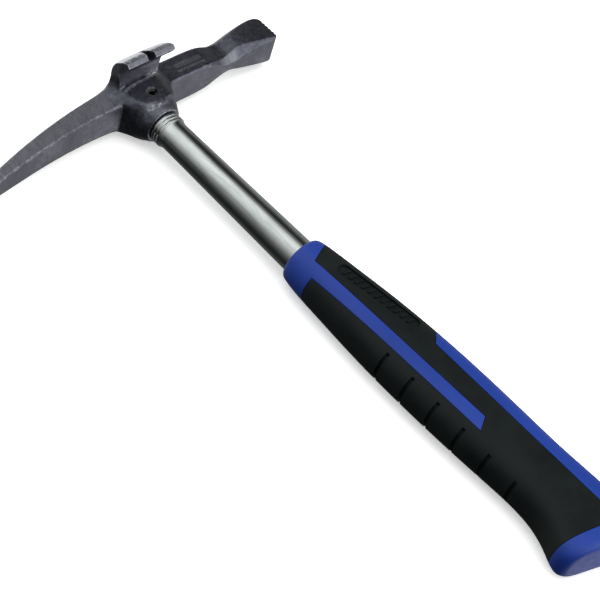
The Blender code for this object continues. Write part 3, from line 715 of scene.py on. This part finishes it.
def paint_wear(item):
    """Point values for the head's finish: worn edges, ground places with painted highlights on
    ridges and the pin's rim, and places lightened as painted highlights.
    """
    bm = bmesh.new()
    bm.from_mesh(item.data)
    bm.normal_update()
    bm.verts.index_update()
    edge_bends = []
    for vertex in bm.verts:
        area = sum(face.calc_area() / len(face.verts) for face in vertex.link_faces)
        bend = 0.0
        for edge in vertex.link_edges:
            if len(edge.link_faces) == 2:
                bend += edge.calc_face_angle_signed(0.0) * edge.calc_length()
        edge_bends.append(bend / max(4.0 * area, 1e-12))
    wear = [min(1.0, max(0.0, (bend * MM - WEAR_FROM_BEND) / WEAR_BEND_RANGE))
            for bend in edge_bends]
    for _ in range(WEAR_SPREADS):
        wear = [0.5 * wear[v.index] + 0.5 * sum(wear[e.other_vert(v).index] for e in v.link_edges)
                / max(1, len(v.link_edges)) for v in bm.verts]
    wear = [amount * (POLL_WEAR if v.co.x > POLL_WEAR_X else 1.0)
            for amount, v in zip(wear, bm.verts)]
    ground_and_highlit = [ground_and_highlit_amount(v.co, v.normal) for v in bm.verts]
    dressed_and_highlit = [dressed_and_highlit_amount(v.co, v.normal) for v in bm.verts]
    bm.free()
    for name, amounts in (("wear", wear), ("ground_and_highlit", ground_and_highlit), ("dressed_and_highlit", dressed_and_highlit)):
        layer = item.data.attributes.new(name, 'FLOAT', 'POINT')
        layer.data.foreach_set("value", amounts)


def eased(value, low, high):
    """0 below low, 1 above high, and smooth between."""
    t = min(1.0, max(0.0, (value - low) / (high - low)))
    return t * t * (3.0 - 2.0 * t)


def dressed_and_highlit_amount(point, normal):
    """How much a place is lightened as a painted highlight and made rougher with file marks, from 0
    to 1: the pick's cheek, the throat, the hub's flank and the waist's facet.
    """
    x, z = point.x / MM, point.z / MM
    # Each mask lightens the lacquer as a painted highlight where light catches that face.
    pick_cheek = eased(abs(normal.z), 0.88, 0.965) * eased(-x, 17.0, 24.0)
    throat = 0.4 * eased(-normal.y, 0.3, 0.6) * eased(z, 14.0, 17.0)
    flank = 0.6 * eased(normal.x, 0.12, 0.4) * eased(x, 7.0, 11.0) * eased(20.0 - x, 0.0, 3.0)
    facing_low_corner = 0.707 * (abs(normal.z) - normal.y)
    waist_facet = 0.9 * eased(facing_low_corner, 0.82, 0.96) * eased(8.5 - abs(x - 62.5), 0.0, 5.0)
    return max(pick_cheek, throat, flank, waist_facet)


def segment_distance(point, start, end):
    """Distance in x, y from a point to the line between start and end."""
    line = Vector(end) - Vector(start)
    here = Vector((point.x, point.y)) - Vector(start)
    t = min(1.0, max(0.0, here.dot(line) / line.length_squared))
    return (here - line * t).length


def ground_and_highlit_amount(point, normal):
    """How much a place on the head is bare steel, from 0 to 1: the claw's ground band, brightened
    towards its upper edge as painted light, and painted highlights along the pad's ridges and on
    the pin hole's upper rim.
    """
    amount = 0.0
    if point.z > CLAW_BAND_Z - 0.5 * MM:
        out = normal.dot(Vector(CLAW_BAND_FACES))
        # Painted highlight: the band grows brighter towards its upper edge.
        lit_towards_edge = 0.30 + 0.70 * eased(point.y, 25.5 * MM, 30.5 * MM)
        band = eased(point.z, CLAW_BAND_Z, CLAW_BAND_Z + 2.0 * MM) * lit_towards_edge
        amount = band * eased(out, 0.35, 0.65)
    # Painted highlight lines along the pad's ridges.
    if PAD_LOW_Z < point.z < PAD_HIGH_Z:
        for start, end, strength in RIDGE_HIGHLIGHTS:
            aside = segment_distance(point, *([value * MM for value in place]
                                              for place in (start, end)))
            amount = max(amount, strength * eased(RIDGE_REACH - aside, 0.0, RIDGE_FADE))
    # Painted highlight on the pin hole's upper rim.
    from_pin_hole = math.hypot(point.x, point.y - PIN_Y) - PIN_R - GAP
    on_rim = abs(from_pin_hole) < PIN_RIM_WIDTH and point.y > PIN_Y + 0.8 * MM
    if point.z > PAD_LOW_Z and on_rim:
        amount = PIN_RIM_HIGHLIGHT
    return amount


def build_head():
    """The forging: its cage rounded, then ground flat, bored and grooved."""
    head = make_object("head_forging", head_cage())
    add_rounding(head, HEAD_ROUNDING)
    settle(head)
    eye_r = TUBE_EYE_R + GAP
    eye = make_object("guide_eye", turned([(0, 0), (eye_r, 0), (eye_r, EYE_END_Y), (0, EYE_END_Y)]))
    pin_hole = make_object("guide_pin_hole", pin_drill())
    pad = make_object("guide_pad", cheek_grinder())
    groove = make_object("guide_groove", nail_groove())
    pocket = make_object("guide_pocket", magnet_pocket())
    face_rows = make_object("guide_face_rows", face_grooves())
    cut(head, [pad, eye, pin_hole, groove, pocket, face_rows])
    paint_wear(head)
    set_down(head, forged_steel(), HEAD_SHARP, node="head")


def pin_drill():
    """Rod that drills the pin's hole through the hub and the tube."""
    return rod_along_z(PIN_R + GAP, PIN_Y, -PIN_HOLE_REACH, PIN_HOLE_REACH)


def collar_profile():
    """Upset collar under the head: three turned rings between grooves, then a step to the tube."""
    top = SKIRT_END_Y - GAP
    pitch = (top - COLLAR_LOW_Y) / COLLAR_RINGS
    points = []
    for ring in range(COLLAR_RINGS):
        start = top - ring * pitch
        for step in range(7):
            turn = math.pi * step / 6
            points.append((COLLAR_R - RING_HEIGHT + RING_HEIGHT * math.sin(turn) ** 0.6,
                           start - RING_GAP - (pitch - 2 * RING_GAP) * step / 6))
    points.append((TUBE_NECK_R + 0.35 * MM, COLLAR_LOW_Y - 1.0 * MM))
    points.append((tube_radius(0), COLLAR_LOW_Y - 2.0 * MM))
    return points


def build_shaft():
    """The tube: its neck in the eye, collar, taper to the grip and its bore, turned in one."""
    outside = [(TUBE_EYE_R - 0.6 * MM, TUBE_TOP_Y), (TUBE_EYE_R, TUBE_TOP_Y - 0.6 * MM),
               (TUBE_EYE_R, SKIRT_END_Y - GAP)]
    outside += collar_profile()
    outside += [(tube_radius(y * MM), y * MM) for y in (-35, -70, -100)]
    outside += [(TUBE_GRIP_R, TUBE_END_Y)]
    bore = TUBE_EYE_R - TUBE_WALL
    inside = [(TUBE_GRIP_R - TUBE_WALL, TUBE_END_Y), (TUBE_GRIP_R - TUBE_WALL, TUBE_TAPER_END_Y),
              (bore, 0.0), (bore, TUBE_TOP_Y)]
    tube = make_object("shaft_chromed", turned(outside + inside, TUBE_SEGMENTS))
    cut(tube, [make_object("guide_pin_hole", pin_drill())])
    set_down(tube, chromed_steel(), TUBE_SHARP, node="shaft_tube")


def grip_shape(name, inset):
    """The grip's outer form, drawn in by inset and rounded."""
    shape = make_object(name, grip_form(inset))
    add_rounding(shape, GRIP_ROUNDING)
    settle(shape)
    return shape


def panel_guides(label, depth, grow):
    """Blocks that stay blue, and the inner form that the panels lie on."""
    inner = grip_shape(f"guide_{label}_inner", depth)
    blocks = [make_object(f"guide_{label}_{part}", prism(outline(grow), -GUIDE_REACH, GUIDE_REACH))
              for part, outline in (("stripe", stripe_outline), ("palm", palm_outline),
                                    ("front", front_outline), ("butt", butt_outline))]
    return [inner] + blocks


def build_grip_core():
    """Blue core: the whole form less the pockets for the soft panels and the shaft's bore."""
    pocket = cut(grip_shape("guide_pockets", -1.0 * MM), panel_guides("pocket", PANEL_DEPTH, 0.0))
    bottom = TUBE_END_Y - 2 * GAP - PLUG_FLANGE
    bore = make_object("guide_bore", turned(
        [(0, bottom), (TUBE_GRIP_R + GAP, bottom), (TUBE_GRIP_R + GAP, TUBE_TAPER_END_Y),
         (TUBE_GRIP_R + GAP, BEFORE_GRIP_Y), (0, BEFORE_GRIP_Y)]))
    core = cut(grip_shape("grip_core_moulding", 0.0), [pocket, bore])
    set_down(core, blue_plastic(), GRIP_SHARP, node="grip_core")


def build_grip_overmould():
    """Black soft panels, one shell moulded round the core."""
    shell = grip_shape("grip_soft_panels", 0.0)
    guides = panel_guides("panel", PANEL_DEPTH - GAP, GAP)
    slots = cut(make_object("guide_slots", finger_slots()),
                [grip_shape("guide_slot_floor", SLOT_DEPTH)])
    ribs = cut(make_object("guide_ribs", plaque_ribs()),
               [grip_shape("guide_rib_tops", RIB_TOP_DEPTH * MM)], 'INTERSECT')
    plaque = cut(make_object("guide_plaque", prism(plaque_outline(), 0.0, GUIDE_REACH)),
                 [grip_shape("guide_plaque_floor", PLAQUE_DEPTH * MM), ribs])
    cut(shell, guides + [slots, plaque])
    set_down(shell, black_rubber(), GRIP_SHARP, node="grip_overmould")


def plaque_axes():
    """Ends of the sunk window's middle line, and the directions along and across it."""
    start, end = (Vector(point) for point in PLAQUE_LINE)
    along = (end - start).normalized()
    return start, end, along, Vector((-along.y, along.x))


def plaque_ribs():
    """Row of slanted ribs that stand in the sunk window."""
    start, end, along, across = plaque_axes()
    bm = bmesh.new()
    for index in range(RIB_COUNT):
        middle = start + (end - start) * (index + 0.5) / RIB_COUNT
        corners = [middle + across * side * RIB_HALF_LENGTH
                   + along * (side * RIB_LEAN + edge * RIB_HALF_WIDTH)
                   for side, edge in ((-1, -1), (1, -1), (1, 1), (-1, 1))]
        merge_into(bm, prism([tuple(corner * MM) for corner in corners], 0.0, GUIDE_REACH))
    return bm


def plaque_outline():
    """Long rounded window on the near cheek panel, following the grip's slope."""
    start, end, along, across = plaque_axes()
    half = PLAQUE_HALF_WIDTH
    points = []
    for centre, turn in ((start, 1), (end, -1)):
        for step in range(9):
            angle = math.pi * step / 8
            offset = (across * math.cos(angle) * half * turn
                      - along * math.sin(angle) * half * PLAQUE_END_ROUNDING * turn)
            points.append(tuple((centre + offset) * MM))
    return points


# ---------------------------------------------------------------- finishes

def new_finish(name):
    """An empty material with its shader and output, and the place coordinates of its surface."""
    material = bpy.data.materials.new(name)
    material.use_nodes = True
    tree = material.node_tree
    shader = tree.nodes["Principled BSDF"]
    place = tree.nodes.new("ShaderNodeTexCoord")
    return material, tree, shader, place.outputs["Object"]


def mapped(tree, place, scale, location=(0.0, 0.0, 0.0)):
    """The surface's place, scaled differently along the hammer's three directions."""
    mapping = tree.nodes.new("ShaderNodeMapping")
    mapping.inputs["Location"].default_value = location
    mapping.inputs["Scale"].default_value = scale
    tree.links.new(place, mapping.inputs["Vector"])
    return mapping.outputs["Vector"]


def grain(tree, place, scale, detail=3.0, roughness=0.55, distortion=0.0):
    """Noise value at the given number of features a metre."""
    texture = tree.nodes.new("ShaderNodeTexNoise")
    texture.inputs["Scale"].default_value = scale
    texture.inputs["Detail"].default_value = detail
    texture.inputs["Roughness"].default_value = roughness
    texture.inputs["Distortion"].default_value = distortion
    tree.links.new(place, texture.inputs["Vector"])
    return texture.outputs["Fac"]


def cells(tree, place, scale):
    """Distance to the nearest of scattered points, at the given number of points a metre."""
    texture = tree.nodes.new("ShaderNodeTexVoronoi")
    texture.feature = 'F1'
    texture.inputs["Scale"].default_value = scale
    tree.links.new(place, texture.inputs["Vector"])
    return texture.outputs["Distance"]


def spread(tree, value, low, high, out_low=0.0, out_high=1.0):
    """Stretch the part of a value between low and high over a new range."""
    remap = tree.nodes.new("ShaderNodeMapRange")
    remap.inputs["From Min"].default_value = low
    remap.inputs["From Max"].default_value = high
    remap.inputs["To Min"].default_value = out_low
    remap.inputs["To Max"].default_value = out_high
    tree.links.new(value, remap.inputs["Value"])
    return remap.outputs["Result"]


def sums(tree, operation, first, second):
    """Join two values, each an output or a plain number."""
    maths = tree.nodes.new("ShaderNodeMath")
    maths.operation = operation
    for socket, value in zip(maths.inputs, (first, second)):
        if isinstance(value, float):
            socket.default_value = value
        else:
            tree.links.new(value, socket)
    return maths.outputs["Value"]


def weighed(tree, first, first_weight, second, second_weight):
    """Sum of two values, each times its weight."""
    return sums(tree, 'ADD', sums(tree, 'MULTIPLY', first, first_weight),
                sums(tree, 'MULTIPLY', second, second_weight))


def shades(tree, value, stops):
    """Colours along a value, from (position, colour) stops."""
    ramp = tree.nodes.new("ShaderNodeValToRGB")
    elements = ramp.color_ramp.elements
    while len(elements) < len(stops):
        elements.new(0.5)
    for element, (position, colour) in zip(elements, stops):
        element.position = position
        element.color = (*colour, 1.0)
    tree.links.new(value, ramp.inputs["Fac"])
    return ramp.outputs["Color"]


def blended(tree, amount, first, second):
    """Mix of two colours, each an output or a plain colour."""
    mix = tree.nodes.new("ShaderNodeMix")
    mix.data_type = 'RGBA'
    tree.links.new(amount, mix.inputs["Factor"])
    for socket, colour in ((mix.inputs[6], first), (mix.inputs[7], second)):
        if isinstance(colour, tuple):
            socket.default_value = (*colour, 1.0)
        else:
            tree.links.new(colour, socket)
    return mix.outputs[2]


def lay_on(tree, shader, colour, roughness, layers, metallic=0.0):
    """Lay colour, roughness and chained bumps on the shader; each bump is its height, strength and
    distance in metres."""
    tree.links.new(colour, shader.inputs["Base Color"])
    tree.links.new(roughness, shader.inputs["Roughness"])
    shader.inputs["Metallic"].default_value = metallic
    normal = None
    for height, strength, distance in layers:
        bump = tree.nodes.new("ShaderNodeBump")
        bump.inputs["Strength"].default_value = strength
        bump.inputs["Distance"].default_value = distance
        tree.links.new(height, bump.inputs["Height"])
        if normal:
            tree.links.new(normal, bump.inputs["Normal"])
        normal = bump.outputs["Normal"]
    tree.links.new(normal, shader.inputs["Normal"])


def painted_value(tree, name):
    """Point value painted on the piece under the given name."""
    attribute = tree.nodes.new("ShaderNodeAttribute")
    attribute.attribute_name = name
    return attribute.outputs["Fac"]


def box_mask(tree, place, centre, half, soft):
    """1 inside a box on the hammer, falling to 0 over soft beyond its sides."""
    local = mapped(tree, place, (1.0, 1.0, 1.0), -(Vector(centre) * MM + ORIGIN))
    split = tree.nodes.new("ShaderNodeSeparateXYZ")
    tree.links.new(local, split.inputs["Vector"])
    mask = None
    for axis, reach in zip("XYZ", half):
        distance = sums(tree, 'ABSOLUTE', split.outputs[axis], 0.0)
        side = spread(tree, distance, (reach + soft) * MM, reach * MM)
        mask = sums(tree, 'MULTIPLY', mask, side) if mask else side
    return mask


def stamped_strokes(tree, place):
    """Two rows of short punched strokes on the near cheek of the poll."""
    rows = None
    for y, half, pitch in STROKE_ROWS:
        area = box_mask(tree, place, (STROKE_X, y, STROKE_Z), (STROKE_HALF_X, half, 1.5), 0.15)
        wave = tree.nodes.new("ShaderNodeTexWave")
        wave.wave_type = 'BANDS'
        wave.bands_direction = 'X'
        wave.inputs["Scale"].default_value = 1000.0 * math.pi / 10.0 / pitch
        wave.inputs["Distortion"].default_value = 0.0
        tree.links.new(place, wave.inputs["Vector"])
        row = sums(tree, 'MULTIPLY', area, spread(tree, wave.outputs["Fac"], 0.45, 0.75))
        rows = sums(tree, 'MAXIMUM', rows, row) if rows else row
    return rows


def forged_steel():
    """Dark lacquered forging with scale and file marks, steel where it is rubbed or ground, and
    painted highlights on ridges, the pin's rim and chosen faces.
    """
    material, tree, shader, place = new_finish("forged_steel")
    wide = grain(tree, place, 60.0, 4.0, 0.6)
    scale = grain(tree, place, 420.0, 4.0, 0.65)
    fine = grain(tree, place, 2200.0, 2.0, 0.6)
    pits = spread(tree, cells(tree, place, 520.0), 0.0, 0.55)
    file_marks = grain(tree, mapped(tree, place, (2600.0, 130.0, 130.0)), 1.0, 3.0, 0.55, 0.4)
    wear, ground_and_highlit, dressed_and_highlit = (painted_value(tree, name) for name in ("wear", "ground_and_highlit", "dressed_and_highlit"))
    lacquer = shades(tree, weighed(tree, wide, 0.5, scale, 0.5),
                     ((0.30, (0.046, 0.047, 0.062)), (0.50, (0.080, 0.082, 0.104)),
                      (0.70, (0.160, 0.163, 0.190))))
    # Lighter lacquer laid on as a painted highlight on the pick's cheek, throat, hub flank and
    # waist facet.
    painted_highlight_lacquer = shades(tree, file_marks, ((0.3, (0.125, 0.13, 0.15)), (0.7, (0.27, 0.28, 0.31))))
    lacquer = blended(tree, sums(tree, 'MULTIPLY', dressed_and_highlit, 0.8), lacquer, painted_highlight_lacquer)
    speckle = spread(tree, weighed(tree, scale, 0.55, fine, 0.45), 0.36, 0.64)
    rubbed = spread(tree, sums(tree, 'ADD', wear, sums(tree, 'SUBTRACT', speckle, 1.0)), 0.0, 0.35)
    # Bare steel from worn edges and the claw's ground band, with painted highlights on ridges and
    # the pin's rim.
    bare = sums(tree, 'MAXIMUM', sums(tree, 'MULTIPLY', rubbed, 0.45),
                spread(tree, sums(tree, 'ADD', ground_and_highlit, sums(tree, 'MULTIPLY', speckle, 0.5)),
                       0.62, 1.0))
    steel = shades(tree, file_marks, ((0.35, (0.34, 0.35, 0.38)), (0.65, (0.70, 0.72, 0.76))))
    strokes = stamped_strokes(tree, place)
    colour = blended(tree, bare, lacquer, steel)
    colour = blended(tree, sums(tree, 'MULTIPLY', strokes, 0.55), colour, (0.42, 0.43, 0.45))
    roughness = sums(tree, 'ADD', spread(tree, scale, 0.3, 0.7, 0.27, 0.40),
                     sums(tree, 'MULTIPLY', dressed_and_highlit, 0.10))
    dressing = sums(tree, 'MULTIPLY', file_marks, dressed_and_highlit)
    lay_on(tree, shader, colour, roughness,
           ((wide, 0.35, 0.0012), (scale, 0.7, 0.00030), (pits, 0.35, 0.00012),
            (dressing, 0.5, 0.00014), (fine, 0.3, 0.00004)), 0.9)
    return material


def chromed_steel():
    """Bright plating over a drawn tube: lengthwise lines, smears that also carry painted dark
    reflection streaks, haze, and painted shade on the collar rings.
    """
    material, tree, shader, place = new_finish("chromed_steel")
    draw_lines = grain(tree, mapped(tree, place, (900.0, 14.0, 900.0)), 1.0, 3.0, 0.6)
    haze = grain(tree, place, 90.0, 4.0, 0.6)
    specks = spread(tree, cells(tree, place, 700.0), 0.0, 0.25, 1.0, 0.0)
    tint = shades(tree, haze, ((0.3, (0.60, 0.635, 0.63)), (0.7, (0.70, 0.73, 0.72))))
    colour = blended(tree, sums(tree, 'MULTIPLY', specks, 0.25), tint, (0.30, 0.32, 0.32))
    # Smudges, darkened as painted dark reflection streaks along the tube.
    smudges_and_dark_streaks = grain(tree, mapped(tree, place, (190.0, 22.0, 190.0)), 1.0, 5.0, 0.65, 0.8)
    smudges_and_dark_streaks = spread(tree, smudges_and_dark_streaks, 0.50, 0.66)
    colour = blended(tree, sums(tree, 'MULTIPLY', smudges_and_dark_streaks, 0.45), colour, (0.30, 0.33, 0.33))
    # Painted shade: the collar rings are darkened where shade falls in their grooves.
    rings = box_mask(tree, place, (0.0, COLLAR_LOW_Y / MM + 6.0, 0.0), (20.0, 6.0, 20.0), 0.4)
    colour = blended(tree, sums(tree, 'MULTIPLY', rings, 0.4), colour, (0.30, 0.32, 0.31))
    lay_on(tree, shader, colour, spread(tree, haze, 0.3, 0.7, 0.06, 0.15),
           ((draw_lines, 0.4, 0.00006), (smudges_and_dark_streaks, 0.2, 0.00006), (haze, 0.15, 0.0004)), 1.0)
    return material


def blue_plastic():
    """Hard satin moulding with a fine spark-eroded skin and faint flow shading."""
    material, tree, shader, place = new_finish("blue_plastic")
    flow = grain(tree, mapped(tree, place, (40.0, 14.0, 40.0)), 1.0, 3.0, 0.5)
    skin = grain(tree, place, 2600.0, 2.0, 0.6)
    dust = grain(tree, place, 300.0, 4.0, 0.6)
    colour = shades(tree, flow, ((0.3, (0.008, 0.028, 0.195)), (0.7, (0.013, 0.042, 0.255))))
    shader.inputs["Specular IOR Level"].default_value = 0.22
    lay_on(tree, shader, colour, spread(tree, dust, 0.3, 0.7, 0.36, 0.50),
           ((skin, 0.25, 0.00006), (dust, 0.1, 0.0001)))
    return material


def black_rubber():
    """Soft matt moulding: fine leather-like skin, paler where hands have polished it."""
    material, tree, shader, place = new_finish("black_rubber")
    skin = spread(tree, cells(tree, place, 1500.0), 0.0, 0.7)
    fine = grain(tree, place, 3200.0, 2.0, 0.6)
    handled = grain(tree, place, 55.0, 4.0, 0.6)
    colour = shades(tree, handled, ((0.3, (0.0022, 0.0040, 0.0040)),
                                    (0.7, (0.0045, 0.0075, 0.0072))))
    shader.inputs["Specular IOR Level"].default_value = 0.20
    lay_on(tree, shader, colour, spread(tree, handled, 0.3, 0.7, 0.52, 0.68),
           ((skin, 0.3, 0.00008), (fine, 0.25, 0.00004)))
    return material


def plain_finish(name, grain_of, dark, light, roughness, bump, metallic):
    """Finish whose colour, roughness and bump all follow one grain."""
    stretch, features, detail = grain_of
    material, tree, shader, place = new_finish(name)
    texture = grain(tree, mapped(tree, place, stretch), features, detail, 0.6)
    lay_on(tree, shader, shades(tree, texture, ((0.3, dark), (0.7, light))),
           spread(tree, texture, 0.3, 0.7, *roughness), ((texture, *bump),), metallic)
    return material


def finish_carried_nodes():
    """Finishes for the nodes that are shown as packed."""
    for node, (name, *settings) in CARRIED_FINISHES.items():
        material = plain_finish(name, *settings)
        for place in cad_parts[node].material_slots:
            place.material = material


# ---------------------------------------------------------------- floor, light and camera

def build_floor():
    """Plain pale floor that gives off a little light, so the shadow on it stays soft."""
    bm = bmesh.new()
    bmesh.ops.create_grid(bm, x_segments=1, y_segments=1, size=6.0)
    floor = make_object("studio_floor", bm)
    material, tree, shader, place = new_finish("floor_white")
    soft = grain(tree, place, 3.0, 2.0, 0.5)
    tree.links.new(shades(tree, soft, ((0.3, (0.86, 0.86, 0.86)), (0.7, (0.89, 0.89, 0.89)))),
                   shader.inputs["Base Color"])
    shader.inputs["Roughness"].default_value = 0.9
    shader.inputs["Specular IOR Level"].default_value = 0.1
    shader.inputs["Emission Color"].default_value = (1.0, 1.0, 1.0, 1.0)
    shader.inputs["Emission Strength"].default_value = FLOOR_GLOW
    floor.data.materials.append(material)
    floor.visible_glossy = False
    floor.visible_diffuse = False


def aim(item, direction, distance, target):
    """Stand a light at a distance from the target along a direction, facing the target."""
    back = Vector(direction).normalized()
    item.location = target + back * distance
    item.rotation_mode = 'QUATERNION'
    item.rotation_quaternion = (-back).to_track_quat('-Z', 'Y')


def build_light(name, direction, distance, width, height, power, shows):
    """Soft rectangular light; shows says whether gloss mirrors it or it only lights."""
    data = bpy.data.lights.new(name, 'AREA')
    data.shape = 'RECTANGLE'
    data.size = width
    data.size_y = height
    data.energy = power
    light = bpy.data.objects.new(name, data)
    bpy.context.scene.collection.objects.link(light)
    aim(light, direction, distance, Vector((0.0, 0.02, 0.02)))
    light.visible_camera = False
    light.visible_glossy = shows


def build_world():
    """Studio round the hammer: a soft overhead bank that fades to the pick's side, dark flags
    beside it, and pale boards low at the butt's side and behind the head."""
    world = bpy.data.worlds.new("studio_room")
    bpy.context.scene.world = world
    world.use_nodes = True
    tree = world.node_tree
    back = tree.nodes["Background"]
    where = tree.nodes.new("ShaderNodeTexCoord")
    split = tree.nodes.new("ShaderNodeSeparateXYZ")
    tree.links.new(where.outputs["Generated"], split.inputs["Vector"])
    x, y, z = (split.outputs[axis] for axis in "XYZ")
    around = spread(tree, sums(tree, 'ARCTAN2', x, z), -math.pi, math.pi)
    stops = [((degrees + 180.0) / 360.0, (level, level * 1.015, level * 1.01))
             for degrees, level in BANK_LEVELS]
    bank = shades(tree, around, stops)
    low_board = sums(tree, 'MULTIPLY', spread(tree, y, -0.1, -0.5), spread(tree, x, -0.1, 0.4))
    high_board = spread(tree, y, 0.5, 0.8)
    boards = weighed(tree, low_board, LOW_BOARD_LEVEL, high_board, HIGH_BOARD_LEVEL)
    total = tree.nodes.new("ShaderNodeMix")
    total.data_type = 'RGBA'
    total.blend_type = 'ADD'
    total.inputs["Factor"].default_value = 1.0
    tree.links.new(bank, total.inputs[6])
    tree.links.new(boards, total.inputs[7])
    tree.links.new(total.outputs[2], back.inputs["Color"])
    back.inputs["Strength"].default_value = 1.0
    seen = tree.nodes.new("ShaderNodeBackground")
    seen.inputs["Color"].default_value = (1.0, 1.0, 1.0, 1.0)
    path = tree.nodes.new("ShaderNodeLightPath")
    mix = tree.nodes.new("ShaderNodeMixShader")
    tree.links.new(path.outputs["Is Camera Ray"], mix.inputs["Fac"])
    tree.links.new(back.outputs["Background"], mix.inputs[1])
    tree.links.new(seen.outputs["Background"], mix.inputs[2])
    tree.links.new(mix.outputs["Shader"], tree.nodes["World Output"].inputs["Surface"])


def build_camera():
    """Camera above the cheek with the claw, off the pick's side and below the butt."""
    data = bpy.data.cameras.new("studio_camera")
    data.sensor_width = 36.0
    data.lens = CAMERA_LENS
    data.clip_end = 100.0
    camera = bpy.data.objects.new("studio_camera", data)
    bpy.context.scene.collection.objects.link(camera)
    right, up, forward = (Vector(axis) for axis in CAMERA_AXES)
    turn = Matrix((right, up, -forward)).transposed()
    camera.matrix_world = Matrix.Translation(Vector(CAMERA_PLACE) * MM + ORIGIN) @ turn.to_4x4()
    bpy.context.scene.camera = camera


build_head()
build_shaft()
build_grip_core()
build_grip_overmould()
finish_carried_nodes()
build_floor()
for softbox in SOFTBOXES:
    build_light(*softbox)
build_world()
build_camera()
bpy.context.scene.view_settings.view_transform = 'Standard'
